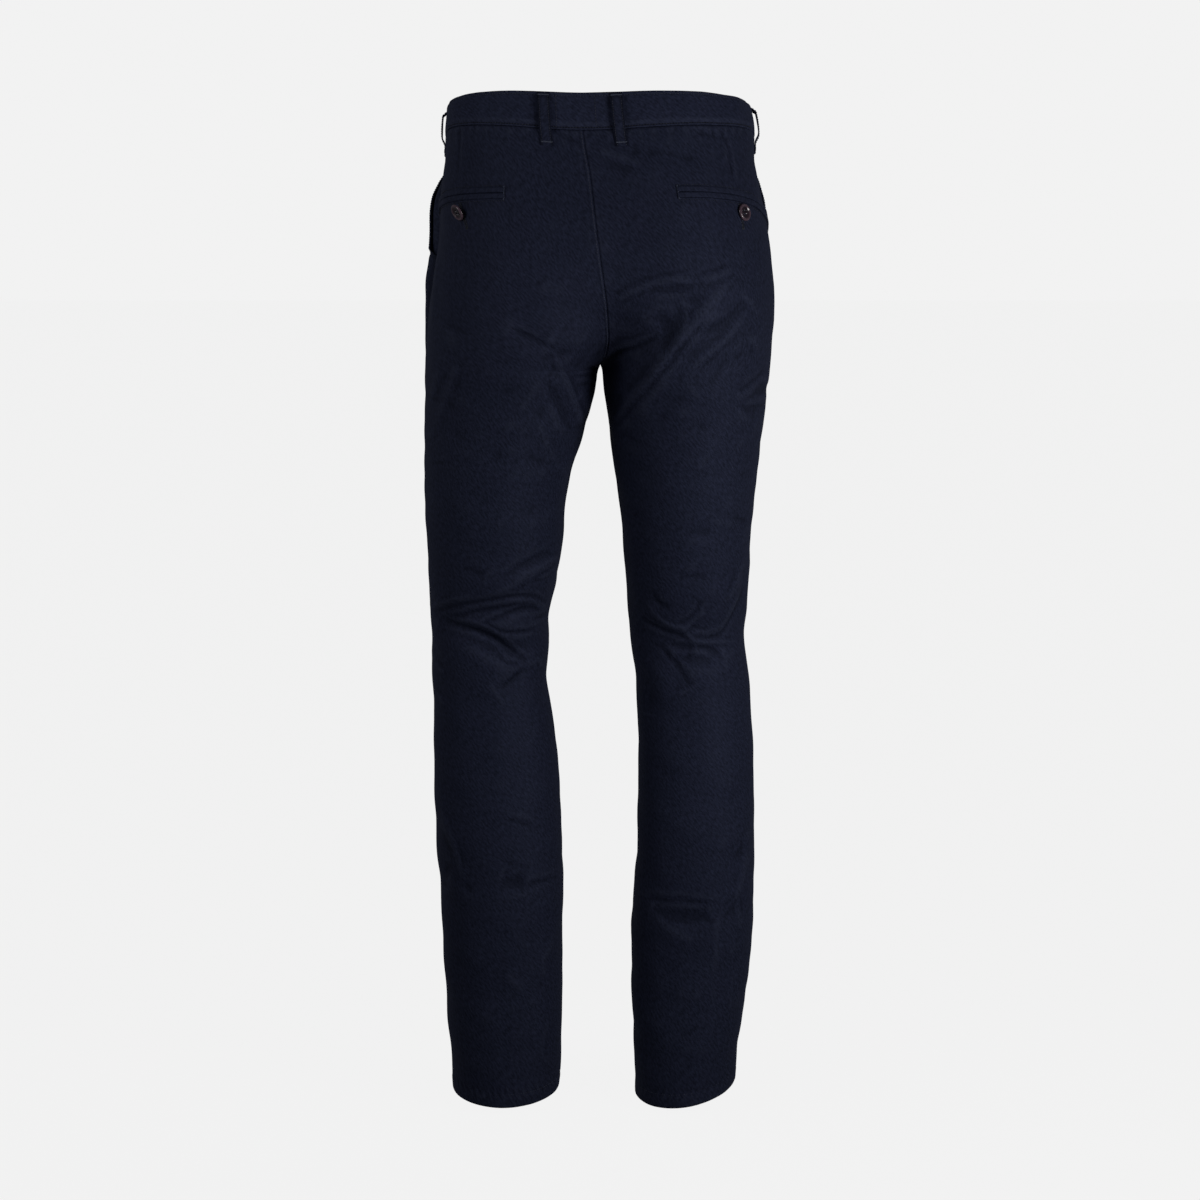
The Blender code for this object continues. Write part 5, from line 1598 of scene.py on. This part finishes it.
def sewn_on(place, axes):
    """Strands over a button's face from hole to hole, and round its shank, as (starts, ends, outs)."""
    starts, ends, outs = [], [], []
    reach = BUTTON_HOLE_CIRCLE / math.sqrt(2)
    face = BUTTON_PROFILE[0][1] * BUTTON_THICKNESS + 0.15
    for high in (-reach, reach):
        for k in range(4):
            off = high + (k - 1.5) * 0.34
            starts.append(np.array([-reach, off, face - 0.5]) @ axes + place)
            ends.append(np.array([reach, off, face - 0.5]) @ axes + place)
            outs.append(axes[2])
    for k in range(SHANK_STRANDS):
        angle = k * 2 * math.pi / SHANK_STRANDS
        foot = np.array([SHANK_RADIUS * math.cos(angle), SHANK_RADIUS * math.sin(angle), -1.2])
        starts.append(foot @ axes + place)
        ends.append((foot * (1, 1, 0) + (0, 0, 0.3)) @ axes + place)
        outs.append(np.array([math.cos(angle), math.sin(angle), 0]) @ axes)
    return starts, ends, outs


def buttonhole(leg, start, end, proud):
    """Two close rows of purl stitches beside a slit, and a bar across its far end."""
    levels, turns = (np.linspace(a, b, 14) for a, b in zip(start, end))
    line = laid(leg, levels, turns[:, None], proud)[:, 0]
    there = normals(leg, levels, turns[:, None])[:, 0]
    way = np.gradient(line, axis=0)
    way /= np.linalg.norm(way, axis=1, keepdims=True)
    across = np.cross(there, way)
    rows = [(line + across * side * PURL_APART, there, PURL_REACH, PURL_PITCH) for side in (-1, 1)]
    bar = np.stack([line[-1] - across[-1] * BAR_HALF, line[-1] + across[-1] * BAR_HALF])
    return rows + [(bar, there[-2:], TACK_REACH, PURL_PITCH)]


button_strands = ([], [], [])
holes = []
BUTTONS = (
    ("back_button_left", LEFT, BACK_BUTTON[LEFT], 3.9, LEFT_BUTTON_FACES),
    ("back_button_right", RIGHT, BACK_BUTTON[RIGHT], 0.0, None),
    ("waist_button", LEFT, WAIST_BUTTON, BAND_PROUD + 0.3, None),
)
for node, leg, (level, turn), proud, faces in BUTTONS:
    placed = make_button(node + "_resin", leg, level, turn, proud + BUTTON_LIFT, faces, node)
    for kept, new in zip(button_strands, sewn_on(*placed)):
        kept.extend(new)
for row in BUTTONHOLES:
    holes += buttonhole(**dict(zip(BUTTONHOLE_COLUMNS, row)))
# The buttonholes' near-black thread is painted shade for the slits between their rows.
satin_bars("buttonholes", holes, SHADE_PAINTED_THREAD)
sewn("button_thread", *(np.array(part)[None] for part in button_strands), 0.22, NAVY_THREAD)

# ---------------------------------------------------------------------------------------------------------
# Fly
# Behind the fly's edge lie the zip, closed, with brass teeth on a woven tape, and the shield of twill that
# backs it. Both hang from the foot of the waistband and are caught by the fly's stitching.
# ---------------------------------------------------------------------------------------------------------

SHIELD_WIDTH = 44.0
TAPE_WIDTH = 28.0
TAPE_THICKNESS = 1.0
CHAIN_WIDTH = 5.0
CHAIN_THICKNESS = 2.0
TOOTH_PITCH = 2.4
TOOTH_RADIUS = CHAIN_THICKNESS / 2.6
TOOTH_GAP = 0.2
TAPE_TOP = BAND_FOOT - 3
CHAIN_TOP, CHAIN_FOOT = BAND_FOOT - 24, FLY_FOOT + 8
TAPE_DEEP, TAPE_LIT = (0.007, 0.009, 0.016, 1), (0.014, 0.017, 0.030, 1)
BRASS_DULL, BRASS_BRIGHT = (0.30, 0.24, 0.13, 1), (0.52, 0.45, 0.30, 1)


def tape_material():
    """Woven polyester tape with fine cross ribs."""
    made, tree, shader = new_material("navy_tape")
    cloth = put(tree, "ShaderNodeUVMap", uv_map="cloth").outputs[0]
    ribs = grouped(tree, WEAVE, {"Vector": cloth, "Pitch": 0.6})
    colour = blend_colour(tree, ribs.outputs[0], TAPE_DEEP, TAPE_LIT)
    tree.links.new(colour, shader.inputs["Base Color"])
    bump = put(tree, "ShaderNodeBump", {"Height": ribs.outputs[0], "Strength": 0.4, "Distance": 0.0002})
    tree.links.new(bump.outputs[0], shader.inputs["Normal"])
    set_inputs(shader, Roughness=0.85)
    return made


def brass_material():
    """Dulled brass, with scuffs that vary its gloss."""
    made, tree, shader = new_material("zip_metal")
    place = put(tree, "ShaderNodeTexCoord").outputs["Object"]
    scuffs = put(tree, "ShaderNodeTexNoise", {"Vector": place, "Scale": 700.0, "Detail": 3.0})
    colour = blend_colour(tree, scuffs.outputs[0], BRASS_DULL, BRASS_BRIGHT)
    tree.links.new(colour, shader.inputs["Base Color"])
    rough = put(tree, "ShaderNodeMapRange", {"Value": scuffs.outputs[0], "To Min": 0.25, "To Max": 0.55})
    tree.links.new(rough.outputs[0], shader.inputs["Roughness"])
    set_inputs(shader, Metallic=1.0)
    return made


def zip_teeth(name, depth, top, foot, finish):
    """Two rows of teeth that mesh: each tooth is a small block set half a pitch from those across from it."""
    starts, ends, outs = [], [], []
    for leg, shift in ((LEFT, 0.0), (RIGHT, TOOTH_PITCH / 2)):
        levels = np.arange(top - shift, foot, -TOOTH_PITCH)
        length = half_length(leg, levels, -1)[:, None]
        near, far = -1 + TOOTH_GAP / length, -1 + (CHAIN_WIDTH / 2) / length
        starts.append(laid(leg, levels, near, depth)[:, 0])
        ends.append(laid(leg, levels, far, depth)[:, 0])
        outs.append(normals(leg, levels, near)[:, 0])
    strands = (np.concatenate(part) for part in (starts, ends, outs))
    return spindles(name, *strands, TOOTH_RADIUS, finish)


shield_depth = UNDER - TAPE_THICKNESS - CHAIN_THICKNESS - 2 * SEAM_GAP
shield = centre_strip(
    "fly_shield_cloth", -1, SHIELD_WIDTH, shield_depth, WALL, TAPE_TOP, FLY_FOOT, NAVY_TWILL
)
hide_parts("fly_shield")
tape = centre_strip(
    "zip_tape_cloth", -1, TAPE_WIDTH, UNDER, TAPE_THICKNESS, TAPE_TOP, FLY_FOOT, tape_material()
)
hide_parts("zip_tape")
chain_depth = UNDER - TAPE_THICKNESS - SEAM_GAP - CHAIN_THICKNESS / 2
teeth = zip_teeth("zip_teeth", chain_depth, CHAIN_TOP, CHAIN_FOOT, brass_material())
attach(teeth, "root")
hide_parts("zip_chain")

# ---------------------------------------------------------------------------------------------------------
# Topstitching
# Tone-on-tone lock stitch: round the hems, beside the centre back seam, along both edges of the waistband,
# down the slant pockets and round the fly. Two short rows run down the band beside the centre back.
# ---------------------------------------------------------------------------------------------------------

CROSS_ROWS = ((LEFT, 0.876), (RIGHT, 0.943))
CROSS_FOOT = 3.0
FLY_END = 4.0
EDGE_STITCH = 1.6


def on_panels(leg, levels, turns):
    """Places and normals on the panels' outer faces, for one level and one turn a place."""
    turns = np.asarray(turns, float)[:, None]
    details = np.where(
        turns > 0,
        back_details(leg, levels, np.abs(turns)),
        front_details(leg, levels, -np.abs(turns)) + gape(leg, levels, -np.abs(turns)),
    )
    return laid(leg, levels, turns, details + 0.05)[:, 0], normals(leg, levels, turns)[:, 0]


def on_band(leg, up, turns):
    """Places and normals on the band's outer face, at a height above its foot."""
    levels = BAND_FOOT + np.broadcast_to(np.asarray(up, float), turns.shape)
    out = (band_face(levels - BAND_FOOT) + band_ripple(leg, turns) + 0.12)[:, None]
    return laid(leg, levels, turns[:, None], out)[:, 0], normals(leg, levels, turns[:, None])[:, 0]


panel_rows, band_rows, foot_rows, tacks = [], [], [], []
for leg in (LEFT, RIGHT):
    round_turns = np.r_[np.linspace(-1, 0, 80), np.linspace(0, 1, 90)[1:]]
    panel_rows.append(on_panels(leg, HEM_STITCH + 0.3 * np.sin(round_turns * 9), round_turns))
    front = half_length(leg, BAND_FOOT, -1)[0]
    start = 1.5 / front if leg == LEFT else TUCK_RUN / front
    for up, rows in ((FOOT_STITCH, foot_rows), (TOP_STITCH, band_rows)):
        rows.append(on_band(leg, up, np.linspace(-1 + start, 1, 220)))
    mouth_levels = np.linspace(BAND_FOOT - 1, MOUTH_FOOT + 1, 70)
    for inset in (EDGE_STITCH, MOUTH_TURNING):
        turns = mouth_edge(leg, mouth_levels) - inset / half_length(leg, mouth_levels, -1)
        panel_rows.append(on_panels(leg, mouth_levels, turns))
    for tack_level in (BAND_FOOT - 9, MOUTH_FOOT + 2):
        at = np.full(8, tack_level)
        inset = np.linspace(0.6, MOUTH_TURNING + 0.6, 8)
        line, there = on_panels(leg, at, mouth_edge(leg, at) - inset / half_length(leg, at, -1))
        tacks.append((line, there, TACK_REACH, TACK_PITCH))

seam_levels = np.linspace(BAND_FOOT - 1, CROTCH + 12, 120)
panel_rows.append(on_panels(LEFT, seam_levels, 1 - SEAM_STITCH / half_length(LEFT, seam_levels, 1)))
bend = np.linspace(0, math.pi / 2, 24)
bend_top, bend_reach = FLY_FOOT + FLY_STITCH, FLY_STITCH - FLY_END
fly_levels = np.r_[np.linspace(BAND_FOOT - 1, bend_top, 50), bend_top - bend_reach * np.sin(bend)[1:]]
fly_inset = np.r_[np.full(50, FLY_STITCH), FLY_END + bend_reach * np.cos(bend)[1:]]
panel_rows.append(on_panels(LEFT, fly_levels, -1 + fly_inset / half_length(LEFT, fly_levels, -1)))
for leg, turn in CROSS_ROWS:
    band_rows.append(on_band(leg, np.linspace(TOP_STITCH, CROSS_FOOT, 20), np.full(20, turn)))
running_stitch("panel_topstitching", panel_rows)
running_stitch("waistband_topstitching", band_rows)
running_stitch("waistband_foot_stitching", foot_rows, SHADE_PAINTED_THREAD, pitch=2.9, length=1.5, radius=0.42)
satin_bars("pocket_bartacks", tacks, NAVY_THREAD)

# ---------------------------------------------------------------------------------------------------------
# Studio
# A pale floor and backdrop of one tone, a soft key light at one side, two weaker lights at the other, and the
# camera behind the trousers, a little above their middle and tipped down.
# ---------------------------------------------------------------------------------------------------------

BACKDROP = 0.887
CAMERA_PLACE = (0.0, 3.5, -0.1)
CAMERA_TILT = 6.9
CAMERA_LENS = 98.13
FLOOR_LEVEL = -1.075
FLOOR_SIZE = 30.0
FLOOR_GLOW = 0.875
SKY_TINT = (0.93, 0.96, 1.0, 1)
SKY_STRENGTH = 0.10


def make_floor():
    """A wide pale floor below the hems, lit evenly enough to be one with the backdrop."""
    mesh = bpy.data.meshes.new("floor")
    s = FLOOR_SIZE
    corners = [(x, y, FLOOR_LEVEL) for x, y in ((-s, -s), (s, -s), (s, s), (-s, s))]
    mesh.from_pydata(corners, [], [(0, 1, 2, 3)])
    made, _, shader = new_material("floor_pale")
    set_inputs(shader, Base_Color=(0.02, 0.02, 0.02, 1), Roughness=1.0, Specular_IOR_Level=0.0)
    set_inputs(shader, Emission_Color=(1, 1, 1, 1), Emission_Strength=FLOOR_GLOW)
    mesh.materials.append(made)
    floor = bpy.data.objects.new("floor", mesh)
    bpy.context.scene.collection.objects.link(floor)
    floor.visible_diffuse = False
    floor.visible_glossy = False
    return floor


make_floor()

world = bpy.data.worlds.new("studio")
bpy.context.scene.world = world
world.use_nodes = True
sky = world.node_tree
sky.nodes.clear()
seen = put(sky, "ShaderNodeBackground", {"Color": (BACKDROP, BACKDROP, BACKDROP, 1), "Strength": 1.0})
fill = put(sky, "ShaderNodeBackground", {"Color": SKY_TINT, "Strength": SKY_STRENGTH})
path = put(sky, "ShaderNodeLightPath")
ways = {0: path.outputs["Is Camera Ray"], 1: fill.outputs[0], 2: seen.outputs[0]}
both = put(sky, "ShaderNodeMixShader", ways)
put(sky, "ShaderNodeOutputWorld", {0: both.outputs[0]})

LIGHT_COLUMNS = ("name", "place", "aim", "size", "watts")
LIGHTS = (
    ("key", (-0.88, 0.90, -0.36), (-0.05, 0.05, -0.36), 0.5, 9.7),
    ("side_fill", (1.0, 0.9, 0.25), (0.05, 0.0, -0.20), 0.7, 4.6),
    ("low_fill", (1.15, 0.45, -0.55), (0.1, 0.0, -0.50), 0.6, 0.7),
)


def aimed(name, place, aim, data):
    """An object that looks from one place to another."""
    made = bpy.data.objects.new(name, data)
    made.location = place
    towards = np.array(aim) - np.array(place)
    made.rotation_euler = Vector(towards).to_track_quat("-Z", "Y").to_euler()
    bpy.context.scene.collection.objects.link(made)
    return made


for row in LIGHTS:
    light = dict(zip(LIGHT_COLUMNS, row))
    lamp = bpy.data.lights.new(light["name"], "AREA")
    lamp.shape = "SQUARE"
    lamp.size = light["size"]
    lamp.energy = light["watts"]
    aimed(light["name"], light["place"], light["aim"], lamp)

camera_data = bpy.data.cameras.new("camera")
camera_data.sensor_width = 36.0
camera_data.lens = CAMERA_LENS
camera = bpy.data.objects.new("camera", camera_data)
camera.location = CAMERA_PLACE
camera.rotation_euler = (math.radians(90 - CAMERA_TILT), 0.0, math.pi)
bpy.context.scene.collection.objects.link(camera)
bpy.context.scene.camera = camera
bpy.context.scene.view_settings.view_transform = "Standard"
